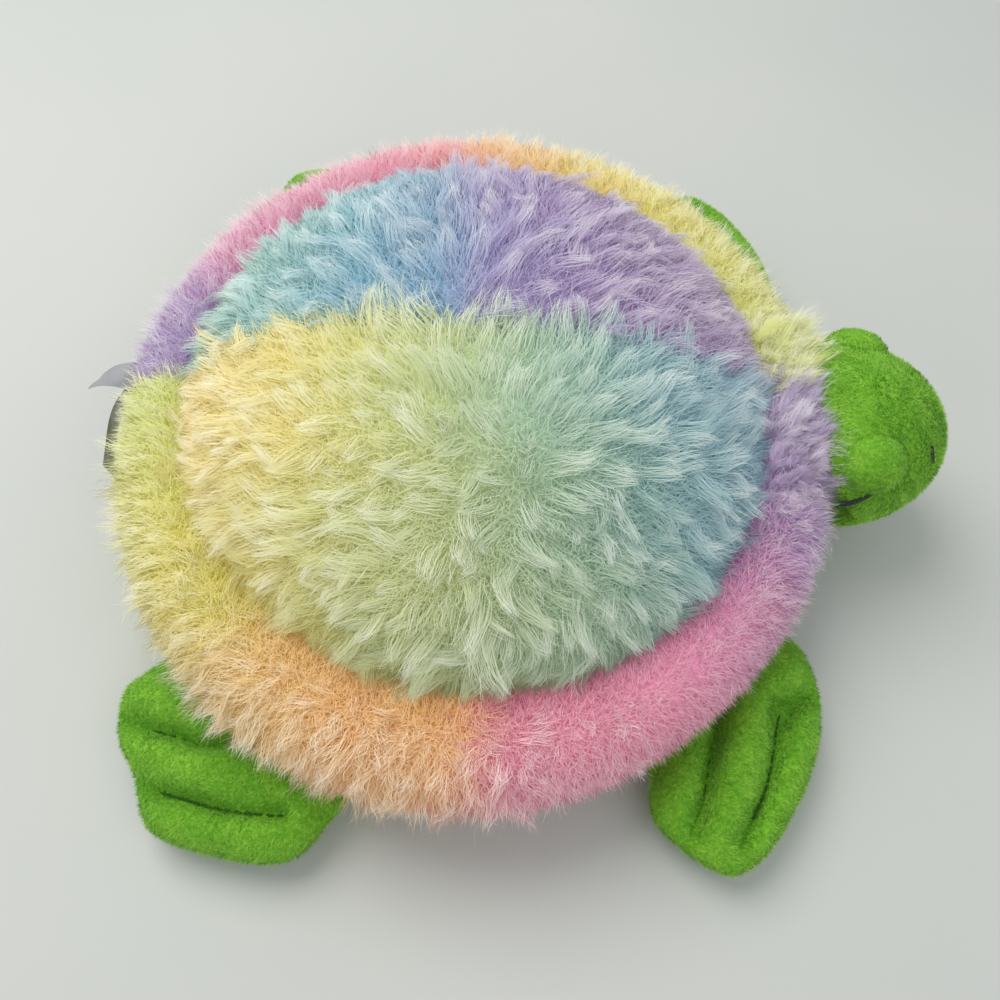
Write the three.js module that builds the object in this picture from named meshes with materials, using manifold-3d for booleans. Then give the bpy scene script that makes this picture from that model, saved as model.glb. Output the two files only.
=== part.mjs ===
// A stuffed turtle with a long-pile rainbow shell and green velour limbs.
// Millimetres. The head points along +X, its own left is +Y, and the belly rests on z = 0.
import * as THREE from 'three';
import Module from 'manifold-3d';
import { mergeVertices } from 'three/addons/utils/BufferGeometryUtils.js';

const wasm = await Module();
wasm.setup();

// Shell: a dome standing in a padded ring
const shellLength = 294;
const shellWidth = 324;
const ringBreadth = 42;
const ringDepth = 38;
const ringMidHeight = 44;
const domeLength = 236;
const domeWidth = 244;
const domeBaseHeight = 53;
const domeRise = 59;

// Belly under the shell
const bellyLength = 218;
const bellyWidth = 244;
const bellyTop = 25;
const pelletBagLength = 140;
const pelletBagWidth = 160;
const pelletBagThickness = 11;

// Head and neck
const headOut = 1;
const headMidHeight = 50;
const headLength = 90;
const headWidth = 77;
const headDepth = 74;
const headRearReach = 11;
const headNotchForward = 12.5;
const headNotchDegrees = 35;
const headCrownForward = 2;
const headCrownDegrees = 42;
const chinSeamDrop = 6;
const neckBallRadius = 13;
const neckBoreRadius = 8;

// Cloth and thread
const pileThickness = 8;
const velourThickness = 2.4;
const clothGap = 0.3;
const turningGap = 0.5;
const threadRadius = 0.8;
const overrun = 20;

// Flippers, each hinged along the seam in the belly's side
const hingeHeight = 12;
const hingeClearance = 0.35;
const flipperHalfThickness = 12;
const flipperEdgeHalf = 3.2;
const flipperEdgeBevel = 1;
const flipperRise = 3;
const flipperSwellLength = 58;
const flipperDomingShare = 0.6;
const frontFlipperReach = 78;
const frontFlipperSpan = 96;
const rearFlipperReach = 82;
const rearFlipperSpan = 96;
const frontFlipperDegrees = 40.6;
const rearFlipperDegrees = 124;

// Face
const lidForward = 7.5;
const lidSideways = 30;
const lidLength = 26;
const lidWidth = 24;
const lidHeight = 17;
const eyeStitchRadius = 1.5;
const nostrilRadius = 0.9;

// Label in the rear seam
const labelLength = 20;
const labelWidth = 13;
const labelThickness = 0.5;
const labelFoldGap = 0.6;
const labelRise = 2;
const labelSideways = 6;
const labelClearance = 0.3;

// How finely the round forms are divided
const aroundSteps = 32;
const domeSteps = 6;
const ringSectionSteps = 10;
const headAroundSteps = 22;
const headRiseSteps = 10;
const flipperSteps = 18;
const threadSides = 5;

const ringHalfBreadth = ringBreadth / 2;
const ringHalfDepth = ringDepth / 2;
const ringPathX = shellLength / 2 - ringHalfBreadth;
const ringPathY = shellWidth / 2 - ringHalfBreadth;
const headMidX = shellLength / 2 + headOut;
const headMid = new THREE.Vector3(headMidX, 0, headMidHeight);
const headRadii = new THREE.Vector3(headLength / 2, headWidth / 2, headDepth / 2);
const neckX = shellLength / 2 + turningGap + neckBallRadius;
const neckMid = new THREE.Vector3(neckX, 0, ringMidHeight);

const group = new THREE.Group();

function cloth(colour, roughness) {
  return new THREE.MeshStandardMaterial({ color: colour, roughness, metalness: 0 });
}

function addPiece(name, geometry, material) {
  geometry.computeVertexNormals();
  const mesh = new THREE.Mesh(geometry, material);
  mesh.name = name;
  group.add(mesh);
}

// Solids from closed meshes, and back
function toSolid(geometry) {
  const bare = geometry.clone();
  bare.deleteAttribute('normal');
  bare.deleteAttribute('uv');
  const merged = mergeVertices(bare);
  return new wasm.Manifold(new wasm.Mesh({
    numProp: 3,
    vertProperties: new Float32Array(merged.attributes.position.array),
    triVerts: new Uint32Array(merged.index.array),
  }));
}

function toGeometry(solid) {
  const mesh = solid.getMesh();
  const geometry = new THREE.BufferGeometry();
  geometry.setAttribute('position', new THREE.BufferAttribute(mesh.vertProperties, 3));
  geometry.setIndex(new THREE.BufferAttribute(mesh.triVerts, 1));
  return geometry;
}

// A closed skin through rings of points, each counted round +Z, from a lower pole to an upper one.
// With wrap the last ring joins the first, as round a hoop. Each four-sided facet is split along its
// shorter diagonal, so that two skins one inside the other are split alike.
function skin(rings, wrap = false) {
  const positions = [];
  const starts = [];
  for (const ring of rings) {
    starts.push(positions.length / 3);
    for (const point of ring) positions.push(point.x, point.y, point.z);
  }
  const faces = [];
  const pairs = wrap ? rings.length : rings.length - 1;
  for (let i = 0; i < pairs; i += 1) {
    const next = (i + 1) % rings.length;
    const [near, far] = [rings[i], rings[next]];
    const [a, b] = [starts[i], starts[next]];
    const count = Math.max(near.length, far.length);
    for (let j = 0; j < count; j += 1) {
      const k = (j + 1) % count;
      if (near.length === 1) {
        faces.push(a, b + k, b + j);
      } else if (far.length === 1) {
        faces.push(a + j, a + k, b);
      } else if (near[j].distanceTo(far[k]) <= near[k].distanceTo(far[j])) {
        faces.push(a + j, a + k, b + k, a + j, b + k, b + j);
      } else {
        faces.push(a + j, a + k, b + j, a + k, b + k, b + j);
      }
    }
  }
  const geometry = new THREE.BufferGeometry();
  geometry.setAttribute('position', new THREE.Float32BufferAttribute(positions, 3));
  geometry.setIndex(faces);
  return geometry;
}

// A stack of ellipses, one above the other, closed flat at both ends
function ellipseStack(levels) {
  const first = levels[0];
  const last = levels[levels.length - 1];
  const rings = levels.map(({ z, x, y }) => {
    if (x <= 0) return [new THREE.Vector3(0, 0, z)];
    return Array.from({ length: aroundSteps }, (unused, j) => {
      const turn = (2 * Math.PI * j) / aroundSteps;
      return new THREE.Vector3(x * Math.cos(turn), y * Math.sin(turn), z);
    });
  });
  if (first.x > 0) rings.unshift([new THREE.Vector3(0, 0, first.z)]);
  if (last.x > 0) rings.push([new THREE.Vector3(0, 0, last.z)]);
  return toSolid(skin(rings));
}

function box(low, high) {
  const size = high.clone().sub(low);
  const middle = low.clone().add(high).multiplyScalar(0.5);
  const geometry = new THREE.BoxGeometry(size.x, size.y, size.z);
  geometry.translate(middle.x, middle.y, middle.z);
  return toSolid(geometry);
}

function ellipsoid(middle, radii, around = headAroundSteps, rise = headRiseSteps, turn = null) {
  const geometry = new THREE.SphereGeometry(1, around, rise);
  geometry.rotateX(Math.PI / 2);
  geometry.scale(radii.x, radii.y, radii.z);
  if (turn) geometry.applyQuaternion(turn);
  geometry.translate(middle.x, middle.y, middle.z);
  return toSolid(geometry);
}

// A box over everything on one side of the plane y = 0 (side is -1 or 1), half a cloth gap off it
function sideBox(side) {
  const reach = shellLength + shellWidth;
  const near = (side * clothGap) / 2;
  const far = side * reach;
  return box(
    new THREE.Vector3(-reach, Math.min(near, far), -reach),
    new THREE.Vector3(reach, Math.max(near, far), reach),
  );
}

// The padded ring, its section drawn in by inset or let out by a negative one
function ringSolid(inset) {
  const rings = Array.from({ length: aroundSteps }, (unused, i) => {
    const turn = (2 * Math.PI * i) / aroundSteps;
    const outward = new THREE.Vector3(ringPathY * Math.cos(turn), ringPathX * Math.sin(turn), 0).normalize();
    return Array.from({ length: ringSectionSteps }, (none, j) => {
      const angle = (-2 * Math.PI * j) / ringSectionSteps;
      const out = (ringHalfBreadth - inset) * Math.cos(angle);
      return new THREE.Vector3(
        ringPathX * Math.cos(turn) + out * outward.x,
        ringPathY * Math.sin(turn) + out * outward.y,
        ringMidHeight + (ringHalfDepth - inset) * Math.sin(angle),
      );
    });
  });
  return toSolid(skin(rings, true));
}

// The dome, drawn in by inset and let down below its base by drop
function domeSolid(inset, drop) {
  const levels = [];
  for (let k = 0; k <= domeSteps; k += 1) {
    const climb = (Math.PI / 2) * (k / domeSteps);
    const spread = k < domeSteps ? Math.cos(climb) : 0;
    levels.push({
      z: domeBaseHeight + (domeRise - inset) * Math.sin(climb),
      x: (domeLength / 2 - inset) * spread,
      y: (domeWidth / 2 - inset) * spread,
    });
  }
  if (drop > 0) levels.unshift({ z: domeBaseHeight - drop, x: levels[0].x, y: levels[0].y });
  return ellipseStack(levels);
}

// The belly's bowl: how far out it reaches at each share of its height
const bellyProfileShares = [[0, 0.86], [0.1, 0.93], [0.32, 0.985], [0.7, 1], [1, 1.05]];

function bellySolid(inset, raise) {
  const levels = bellyProfileShares.map(([heightShare, spreadShare]) => ({
    z: inset + (bellyTop - inset) * heightShare,
    x: (bellyLength / 2) * spreadShare - inset,
    y: (bellyWidth / 2) * spreadShare - inset,
  }));
  const last = levels[levels.length - 1];
  if (raise > 0) levels.push({ z: last.z + raise, x: last.x, y: last.y });
  return ellipseStack(levels);
}

const ringGrown = ringSolid(-clothGap);

// Dome: two long-pile panels sewn along the spine, open below where the stuffing goes in
function shellPanel(side) {
  const cap = domeSolid(0, 0).subtract(domeSolid(pileThickness, overrun));
  return toGeometry(cap.subtract(ringGrown).intersect(sideBox(side)));
}
addPiece('shell_panel_right', shellPanel(-1), cloth('#a9c29b', 0.95));
addPiece('shell_panel_left', shellPanel(1), cloth('#a598bd', 0.95));

// Ring: two long-pile strips, each from the neck seam to the rear seam, with their inner edges sewn in
function rimStrip(side) {
  const seamAllowance = pileThickness - velourThickness;
  const holeX = ringPathX - ringHalfBreadth + seamAllowance;
  const holeY = ringPathY - ringHalfBreadth + seamAllowance;
  const mouth = ellipseStack([
    { z: 0, x: holeX, y: holeY },
    { z: ringMidHeight + ringDepth, x: holeX, y: holeY },
  ]);
  const tube = ringSolid(0).subtract(ringSolid(pileThickness));
  return toGeometry(tube.subtract(mouth).intersect(sideBox(side)));
}
addPiece('rim_strip_right', rimStrip(-1), cloth('#d98fa0', 0.95));
addPiece('rim_strip_left', rimStrip(1), cloth('#dbb0c4', 0.95));

// Stuffing of the ring
const ringStuffing = ringSolid(pileThickness + clothGap);
addPiece('rim_filling', toGeometry(ringStuffing), cloth('#f4f3ee', 1));

// Belly: one velour bowl, flat where the toy sits
const bellyCup = bellySolid(0, 0).subtract(bellySolid(velourThickness, overrun)).subtract(ringGrown);
addPiece('belly_panel', toGeometry(bellyCup), cloth('#5aa32c', 0.9));

// Pellet bag lying in the bottom of the belly, which makes the toy sit
const bagFloor = velourThickness + clothGap;
function pelletBag(grow) {
  const bagBulgeShare = 0.93;
  const half = pelletBagThickness / 2;
  const middle = bagFloor + half;
  const reach = (share) => ({
    x: (pelletBagLength / 2) * share + grow,
    y: (pelletBagWidth / 2) * share + grow,
  });
  return ellipseStack([
    { z: middle - half - grow, ...reach(bagBulgeShare) },
    { z: middle, ...reach(1) },
    { z: middle + half + grow, ...reach(bagBulgeShare) },
  ]);
}
addPiece('pellet_bag', toGeometry(pelletBag(0)), cloth('#e8e6df', 0.9));

// Stuffing of the dome, which fills the ring's hole and the belly too
const coreX = ringPathX;
const coreY = ringPathY;
const core = ellipseStack([
  { z: ringMidHeight - ringHalfDepth / 2, x: coreX, y: coreY },
  { z: domeBaseHeight, x: coreX, y: coreY },
]).subtract(ringSolid(-clothGap));
const coreHole = core.decompose().sort((a, b) => b.volume() - a.volume())[0];
const underDome = domeSolid(pileThickness + clothGap, domeBaseHeight - ringMidHeight);
const inBelly = bellySolid(velourThickness + clothGap, ringHalfDepth / 2);
const shellStuffing = underDome.add(coreHole).add(inBelly).subtract(ringGrown).subtract(pelletBag(clothGap));
const largest = shellStuffing.decompose().sort((a, b) => b.volume() - a.volume())[0];
addPiece('shell_filling', toGeometry(largest), cloth('#f4f3ee', 1));

// A thread or cord of round section along a few points
function thread(points, radius, steps) {
  const section = new THREE.Shape();
  for (let j = 0; j < threadSides; j += 1) {
    const turn = (2 * Math.PI * j) / threadSides;
    const x = radius * Math.cos(turn);
    const y = radius * Math.sin(turn);
    if (j === 0) section.moveTo(x, y);
    else section.lineTo(x, y);
  }
  section.closePath();
  return toSolid(new THREE.ExtrudeGeometry(section, {
    steps,
    bevelEnabled: false,
    extrudePath: new THREE.CatmullRomCurve3(points),
  }));
}

// One hand-sewn thread, up and down across the seam, closes the belly at the rear
const closingTurns = 7;
const closingSteps = 14;
const closingStitchPitch = 5;
const closingStitchHeight = 5;
const closingMidHeight = 15;
const closingPoints = Array.from({ length: closingTurns }, (unused, i) => {
  const y = (i - (closingTurns - 1) / 2) * closingStitchPitch;
  const wallX = (bellyLength / 2) * Math.sqrt(1 - (y / (bellyWidth / 2)) ** 2);
  const lift = (i % 2 ? 1 : -1) * (closingStitchHeight / 2);
  return new THREE.Vector3(-(wallX + clothGap + threadRadius), y, closingMidHeight + lift);
});
const closing = thread(closingPoints, threadRadius, closingSteps);
addPiece('closing_stitches', toGeometry(closing), cloth('#4f9427', 0.8));

// Neck: a short stuffed velour ball between the ring and the head, which nods on the ring
const neckRadii = new THREE.Vector3(neckBallRadius, neckBallRadius, neckBallRadius);
const neckSteps = 16;
const neckRiseSteps = 8;
const neckBall = ellipsoid(neckMid, neckRadii, neckSteps, neckRiseSteps);
function neckBore(radius) {
  const geometry = new THREE.CylinderGeometry(radius, radius, headLength, neckSteps);
  geometry.rotateZ(Math.PI / 2);
  geometry.translate(neckMid.x, neckMid.y, neckMid.z);
  return toSolid(geometry);
}
const neckSleeve = neckBall.subtract(neckBore(neckBoreRadius));
const neckStuffing = neckBall.intersect(neckBore(neckBoreRadius - clothGap));
addPiece('neck_sleeve', toGeometry(neckSleeve), cloth('#4f9a28', 0.9));
addPiece('neck_filling', toGeometry(neckStuffing), cloth('#f4f3ee', 1));

// Head: a velour hood sewn to a chin panel over stuffing. Its crown slopes down at the rear. A notch
// below that, one sloping face above the chin seam and one under it, stands clear of the ring while the
// head nods and turns.
const headKeep = box(
  new THREE.Vector3(headMidX - headRearReach, -headWidth, 0),
  new THREE.Vector3(headMidX + headLength, headWidth, headMidHeight + headDepth),
);
const chinSeamZ = headMidHeight - chinSeamDrop;
const notchX = shellLength / 2 + headNotchForward;
function clearOfRing(solid, side) {
  const slope = THREE.MathUtils.degToRad(headNotchDegrees);
  const normal = new THREE.Vector3(Math.cos(slope), 0, side * Math.sin(slope));
  const notch = new THREE.Vector3(notchX, 0, chinSeamZ);
  return solid.trimByPlane(normal.toArray(), normal.dot(notch));
}
function slopedAtCrown(solid, inset) {
  const slope = THREE.MathUtils.degToRad(headCrownDegrees);
  const normal = new THREE.Vector3(Math.cos(slope), 0, -Math.sin(slope));
  const crown = new THREE.Vector3(headMidX + headCrownForward, 0, headMidHeight + headDepth / 2);
  return solid.trimByPlane(normal.toArray(), normal.dot(crown) + inset);
}
const farCorner = new THREE.Vector3(headMidX + headLength, headWidth, headMidHeight + headDepth);
function aboveSeam(gap) {
  return box(new THREE.Vector3(0, -headWidth, chinSeamZ + gap), farCorner);
}
function belowSeam(gap) {
  return box(new THREE.Vector3(0, -headWidth, 0), new THREE.Vector3(farCorner.x, headWidth, chinSeamZ - gap));
}
const neckSocketRadius = neckBallRadius + turningGap;
const neckSocket = ellipsoid(
  neckMid,
  new THREE.Vector3(neckSocketRadius, neckSocketRadius, neckSocketRadius),
  neckSteps,
  neckRiseSteps,
);
const headBall = slopedAtCrown(ellipsoid(headMid, headRadii), 0);
const headOuter = headBall.intersect(headKeep).subtract(neckSocket);
const headInner = ellipsoid(headMid, headRadii.clone().subScalar(velourThickness));
const hood = headOuter.subtract(slopedAtCrown(headInner, velourThickness));
const headTop = clearOfRing(hood.intersect(aboveSeam(clothGap / 2)), 1);
const headChin = clearOfRing(hood.intersect(belowSeam(clothGap / 2)), -1);
addPiece('head_top_panel', toGeometry(headTop), cloth('#5aa32c', 0.9));
addPiece('head_chin_panel', toGeometry(headChin), cloth('#5aa32c', 0.9));
const fillingRadii = headRadii.clone().subScalar(velourThickness + clothGap);
const headCore = slopedAtCrown(ellipsoid(headMid, fillingRadii), velourThickness + clothGap);
const headStuffing = headCore.intersect(headKeep).subtract(neckSocket);
const coreTop = clearOfRing(headStuffing.intersect(aboveSeam(0)), 1);
const coreChin = clearOfRing(headStuffing.intersect(belowSeam(0)), -1);
addPiece('head_filling', toGeometry(coreTop.add(coreChin)), cloth('#f4f3ee', 1));

// Where the head's surface lies over a place in plan or beside a place on its side, and how it faces
function headTopAt(x, y) {
  const across = ((x - headMid.x) / headRadii.x) ** 2 + (y / headRadii.y) ** 2;
  return new THREE.Vector3(x, y, headMid.z + headRadii.z * Math.sqrt(1 - across));
}
function headSideAt(x, z, side) {
  const across = ((x - headMid.x) / headRadii.x) ** 2 + ((z - headMid.z) / headRadii.z) ** 2;
  return new THREE.Vector3(x, side * headRadii.y * Math.sqrt(1 - across), z);
}
function headFacing(point) {
  const away = point.clone().sub(headMid);
  return away.divide(headRadii).divide(headRadii).normalize();
}

const headGrown = ellipsoid(headMid, headRadii.clone().addScalar(clothGap));
const lidSteps = 14;
const lidRiseSteps = 8;
const eyeSteps = 6;
const nostrilSteps = 4;
const toeStitchSteps = 12;
const lidSinkShare = 0.25;
const up = new THREE.Vector3(0, 0, 1);
// The closed eye in shares of the head's half length and half depth, and the nostril in shares of its
// half length and half width
const eyeStitchShares = [[0.03, 0.2], [0.08, 0.185], [0.14, 0.22], [0.22, 0.32]];
const nostrilShares = [[0.65, 0.5], [0.68, 0.54], [0.7, 0.58]];

for (const [sideName, side] of [['right', -1], ['left', 1]]) {
  // Eyelid: a small stuffed pad sewn on the hood
  const seat = headTopAt(headMid.x + lidForward, side * lidSideways);
  const facing = headFacing(seat);
  const lidMiddle = seat.clone().addScaledVector(facing, -lidHeight * lidSinkShare);
  const turn = new THREE.Quaternion().setFromUnitVectors(up, facing);
  const lidRadii = new THREE.Vector3(lidLength / 2, lidWidth / 2, lidHeight / 2);
  const pad = ellipsoid(lidMiddle, lidRadii, lidSteps, lidRiseSteps, turn);

  // Closed eye and nostril: thread laid on the velour, the eye tucked under the lid's edge
  const laidOn = (points, radius) => points.map((point) => (
    point.clone().addScaledVector(headFacing(point), clothGap + radius)
  ));
  const eyePoints = eyeStitchShares.map(([forward, rise]) => (
    headSideAt(headMid.x + forward * headRadii.x, headMid.z + rise * headRadii.z, side)
  ));
  const eyeRoute = laidOn(eyePoints, eyeStitchRadius);
  const eye = thread(eyeRoute, eyeStitchRadius, eyeSteps);
  const tuck = thread(eyeRoute, eyeStitchRadius + clothGap, eyeSteps);
  const lid = pad.subtract(headGrown).intersect(headKeep).subtract(tuck);
  addPiece(`eyelid_${sideName}`, toGeometry(lid), cloth('#74b53c', 0.9));
  addPiece(`eye_stitch_${sideName}`, toGeometry(eye), cloth('#15161a', 0.6));
  const nostrilPoints = nostrilShares.map(([forward, sideways]) => (
    headTopAt(headMid.x + forward * headRadii.x, side * sideways * headRadii.y)
  ));
  const nostril = thread(laidOn(nostrilPoints, nostrilRadius), nostrilRadius, nostrilSteps);
  addPiece(`nostril_stitch_${sideName}`, toGeometry(nostril), cloth('#15161a', 0.6));
}

// Flippers. A flipper's outline is in shares of its reach, away from the hinge, and of its span, along it.
const frontOutlineShares = [
  [0, 0.26], [0, -0.27], [0.25, -0.33], [0.52, -0.31], [0.8, -0.16], [0.92, 0.02], [0.985, 0.24],
  [0.975, 0.39], [1, 0.49], [0.95, 0.61], [0.86, 0.655], [0.77, 0.68], [0.56, 0.68], [0.35, 0.52],
  [0.13, 0.36],
];
const rearOutlineShares = [
  [0, 0.3], [0, -0.3], [0.16, -0.44], [0.36, -0.52], [0.55, -0.54], [0.78, -0.45], [0.92, -0.27],
  [1, -0.08], [0.97, 0.06], [0.9, 0.11], [0.88, 0.24], [0.8, 0.37], [0.72, 0.38], [0.66, 0.46],
  [0.5, 0.46], [0.24, 0.4],
];
const flipperKinds = [
  {
    place: 'front',
    turnDegrees: frontFlipperDegrees,
    reach: frontFlipperReach,
    span: frontFlipperSpan,
    outlineShares: frontOutlineShares,
    middleShares: [0.54, 0.14],
    toeLineShares: [
      [[0.43, 0.21], [0.52, 0.34], [0.6, 0.46], [0.65, 0.57]],
      [[0.66, 0.07], [0.79, 0.24], [0.83, 0.38], [0.84, 0.48]],
    ],
  },
  {
    place: 'rear',
    turnDegrees: rearFlipperDegrees,
    reach: rearFlipperReach,
    span: rearFlipperSpan,
    outlineShares: rearOutlineShares,
    middleShares: [0.52, 0],
    toeLineShares: [
      [[0.45, -0.07], [0.6, 0.02], [0.66, 0.12], [0.7, 0.22]],
      [[0.57, -0.4], [0.74, -0.2], [0.83, -0.05], [0.88, 0.04]],
    ],
  },
];
const innerRingShares = [0.42, 0.72, 0.9];
const rootSwellShare = 0.3;

// How far a flipper has swollen and risen at a reach from its hinge, from 0 to 1
function swollen(reach) {
  return THREE.MathUtils.smoothstep(reach, 0, flipperSwellLength);
}
function midHeight(reach) {
  return hingeHeight + flipperRise * swollen(reach);
}
// Half the thickness at a fraction of the way from the middle to the edge
function halfThickness(fraction, reach) {
  const swell = rootSwellShare + (1 - rootSwellShare) * swollen(reach);
  return flipperEdgeHalf + flipperHalfThickness * (1 - fraction * fraction) ** flipperDomingShare * swell;
}

function flipperForm(kind) {
  const toPlan = ([reachShare, spanShare]) => (
    new THREE.Vector3(reachShare * kind.reach, spanShare * kind.span, 0)
  );
  const middle = toPlan(kind.middleShares);
  const curve = new THREE.CatmullRomCurve3(kind.outlineShares.map(toPlan), true);
  const outline = curve.getSpacedPoints(flipperSteps).slice(0, flipperSteps);
  outline.forEach((point) => { point.x = Math.max(point.x, 0); });
  const at = (point, fraction, sign, inset) => {
    const away = point.clone().sub(middle);
    const bevel = fraction < 1 ? 0 : flipperEdgeBevel;
    const drawn = middle.clone().addScaledVector(away, fraction * (1 - (inset + bevel) / away.length()));
    drawn.z = midHeight(drawn.x) + sign * (halfThickness(fraction, drawn.x) - inset);
    return drawn;
  };
  // One face of the cushion, from its middle out to its edge, as rings
  const face = (sign, inset) => [
    [at(middle.clone().add(new THREE.Vector3(kind.reach, 0, 0)), 0, sign, inset)],
    ...[...innerRingShares, 1].map((fraction) => outline.map((point) => at(point, fraction, sign, inset))),
  ];
  return { outline, at, face, toPlan };
}

// The sewn edge's mid line, a little above or below it, which stands out past the bevels
function edgeRing(form, inset, lift) {
  return form.outline.map((point) => {
    const ring = form.at(point, 1, 1, inset - flipperEdgeBevel);
    ring.z = midHeight(ring.x) + lift;
    return ring;
  });
}

const places = [];
for (const kind of flipperKinds) {
  const form = flipperForm(kind);
  const half = clothGap / 2;
  const topOuter = form.face(1, 0);
  const topInner = form.face(1, velourThickness);
  const bottomOuter = form.face(-1, 0);
  const bottomInner = form.face(-1, velourThickness);
  const upper = [
    ...topInner,
    edgeRing(form, velourThickness, half),
    edgeRing(form, 0, half),
    ...topOuter.reverse(),
  ];
  const lower = [
    ...bottomOuter,
    edgeRing(form, 0, -half),
    edgeRing(form, velourThickness, -half),
    ...bottomInner.reverse(),
  ];
  const inset = velourThickness + clothGap;
  const filling = [...form.face(-1, inset), ...form.face(1, inset).reverse()];
  // Two lines of thread lie on the upper panel between the toes
  const cover = new THREE.Mesh(skin(upper), new THREE.MeshBasicMaterial({ side: THREE.DoubleSide }));
  const stitches = kind.toeLineShares.map((lineShares) => {
    const line = new THREE.CatmullRomCurve3(lineShares.map(form.toPlan));
    return line.getSpacedPoints(toeStitchSteps).map((point) => {
      const start = point.clone().setZ(2 * hingeHeight + flipperHalfThickness);
      const [found] = new THREE.Raycaster(start, up.clone().negate()).intersectObject(cover);
      const facing = found.face.normal.clone();
      facing.multiplyScalar(Math.sign(facing.z));
      return found.point.clone().addScaledVector(facing, clothGap + threadRadius);
    });
  });
  places.push({ kind, upper, lower, filling, stitches });
}

// The belly's wall at the hinge's height and at a turn from the head, and the way that it faces there
function wallPlace(turnDegrees, side) {
  const turn = side * THREE.MathUtils.degToRad(turnDegrees);
  const above = bellyProfileShares.findIndex(([heightShare]) => heightShare * bellyTop > hingeHeight);
  const [lowShare, lowSpread] = bellyProfileShares[above - 1];
  const [highShare, highSpread] = bellyProfileShares[above];
  const climbed = (hingeHeight / bellyTop - lowShare) / (highShare - lowShare);
  const spread = lowSpread + (highSpread - lowSpread) * climbed;
  const wallX = (bellyLength / 2) * spread;
  const wallY = (bellyWidth / 2) * spread;
  const outward = new THREE.Vector3(Math.cos(turn) / wallX, Math.sin(turn) / wallY, 0).normalize();
  const root = new THREE.Vector3(wallX * Math.cos(turn), wallY * Math.sin(turn), 0);
  return { outward, root: root.addScaledVector(outward, hingeClearance) };
}

for (const { kind, upper, lower, filling, stitches } of places) {
  for (const [sideName, side] of [['right', -1], ['left', 1]]) {
    const { outward, root } = wallPlace(kind.turnDegrees, side);
    // The span runs towards the rear along the seam on both sides of the toy
    const along = new THREE.Vector3(-outward.y * side, outward.x * side, 0);
    const place = (point) => root.clone()
      .addScaledVector(outward, point.x)
      .addScaledVector(along, point.y)
      .setZ(point.z);
    const placed = (rings) => rings.map((ring) => {
      const moved = ring.map(place);
      return side > 0 ? moved : moved.reverse();
    });
    const name = `flipper_${kind.place}_${sideName}`;
    addPiece(`${name}_upper`, skin(placed(upper)), cloth('#55a02a', 0.9));
    addPiece(`${name}_lower`, skin(placed(lower)), cloth('#4f9a28', 0.9));
    addPiece(`${name}_filling`, skin(placed(filling)), cloth('#f4f3ee', 1));
    stitches.forEach((points, i) => {
      const line = thread(points.map(place), threadRadius, toeStitchSteps);
      addPiece(`${name}_toe_stitch_${i + 1}`, toGeometry(line), cloth('#3c7d1e', 0.8));
    });
  }
}

// Label: one satin strip folded back on itself and sewn into the rear seam
const labelRootOut = ringHalfBreadth * Math.sqrt(1 - (labelRise / ringHalfDepth) ** 2);
const labelRootX = -(ringPathX + labelRootOut + labelClearance);
const leafTop = labelFoldGap / 2 + labelThickness;
const labelProfile = new THREE.Shape();
labelProfile.moveTo(0, -leafTop);
labelProfile.lineTo(0, -labelFoldGap / 2);
labelProfile.lineTo(-labelLength + labelThickness, -labelFoldGap / 2);
labelProfile.lineTo(-labelLength + labelThickness, labelFoldGap / 2);
labelProfile.lineTo(0, labelFoldGap / 2);
labelProfile.lineTo(0, leafTop);
labelProfile.lineTo(-labelLength, leafTop);
labelProfile.lineTo(-labelLength, -leafTop);
labelProfile.closePath();
const strip = new THREE.ExtrudeGeometry(labelProfile, { depth: labelWidth, bevelEnabled: false });
strip.rotateX(Math.PI / 2);
strip.translate(labelRootX, labelSideways + labelWidth / 2, ringMidHeight + labelRise);
addPiece('care_label', toGeometry(toSolid(strip)), cloth('#d9dbdd', 0.4));

export default group;
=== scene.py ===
import math

import bpy
import numpy as np
from mathutils import Matrix, Vector, kdtree


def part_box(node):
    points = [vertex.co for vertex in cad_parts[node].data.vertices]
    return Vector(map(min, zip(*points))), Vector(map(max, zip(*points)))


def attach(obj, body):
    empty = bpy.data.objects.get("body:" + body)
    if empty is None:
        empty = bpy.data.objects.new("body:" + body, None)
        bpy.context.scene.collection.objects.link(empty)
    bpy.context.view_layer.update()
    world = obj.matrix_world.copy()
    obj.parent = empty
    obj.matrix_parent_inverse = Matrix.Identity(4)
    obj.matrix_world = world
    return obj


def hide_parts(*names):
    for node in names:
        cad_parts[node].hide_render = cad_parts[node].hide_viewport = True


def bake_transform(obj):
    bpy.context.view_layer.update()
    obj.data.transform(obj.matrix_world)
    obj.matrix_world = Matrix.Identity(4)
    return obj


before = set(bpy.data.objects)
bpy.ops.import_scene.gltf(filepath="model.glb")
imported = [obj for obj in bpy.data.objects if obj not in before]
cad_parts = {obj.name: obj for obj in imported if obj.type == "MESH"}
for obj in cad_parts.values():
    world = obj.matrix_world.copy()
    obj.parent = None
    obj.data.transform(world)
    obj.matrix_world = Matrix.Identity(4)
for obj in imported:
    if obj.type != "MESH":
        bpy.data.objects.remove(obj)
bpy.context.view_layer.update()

# Camera
# A hand-held camera stands 60 degrees above the table on the toy's right and is turned by a few
# degrees, so that the head points to the right edge of the picture.
camera_place = Vector((0.0101, -0.2304, 0.3756))
camera_rise = math.radians(59.977)
camera_swing = math.radians(-0.288)
camera_roll = math.radians(3.823)
camera_lens_mm = 34.06
camera_film_mm = 36

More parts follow.
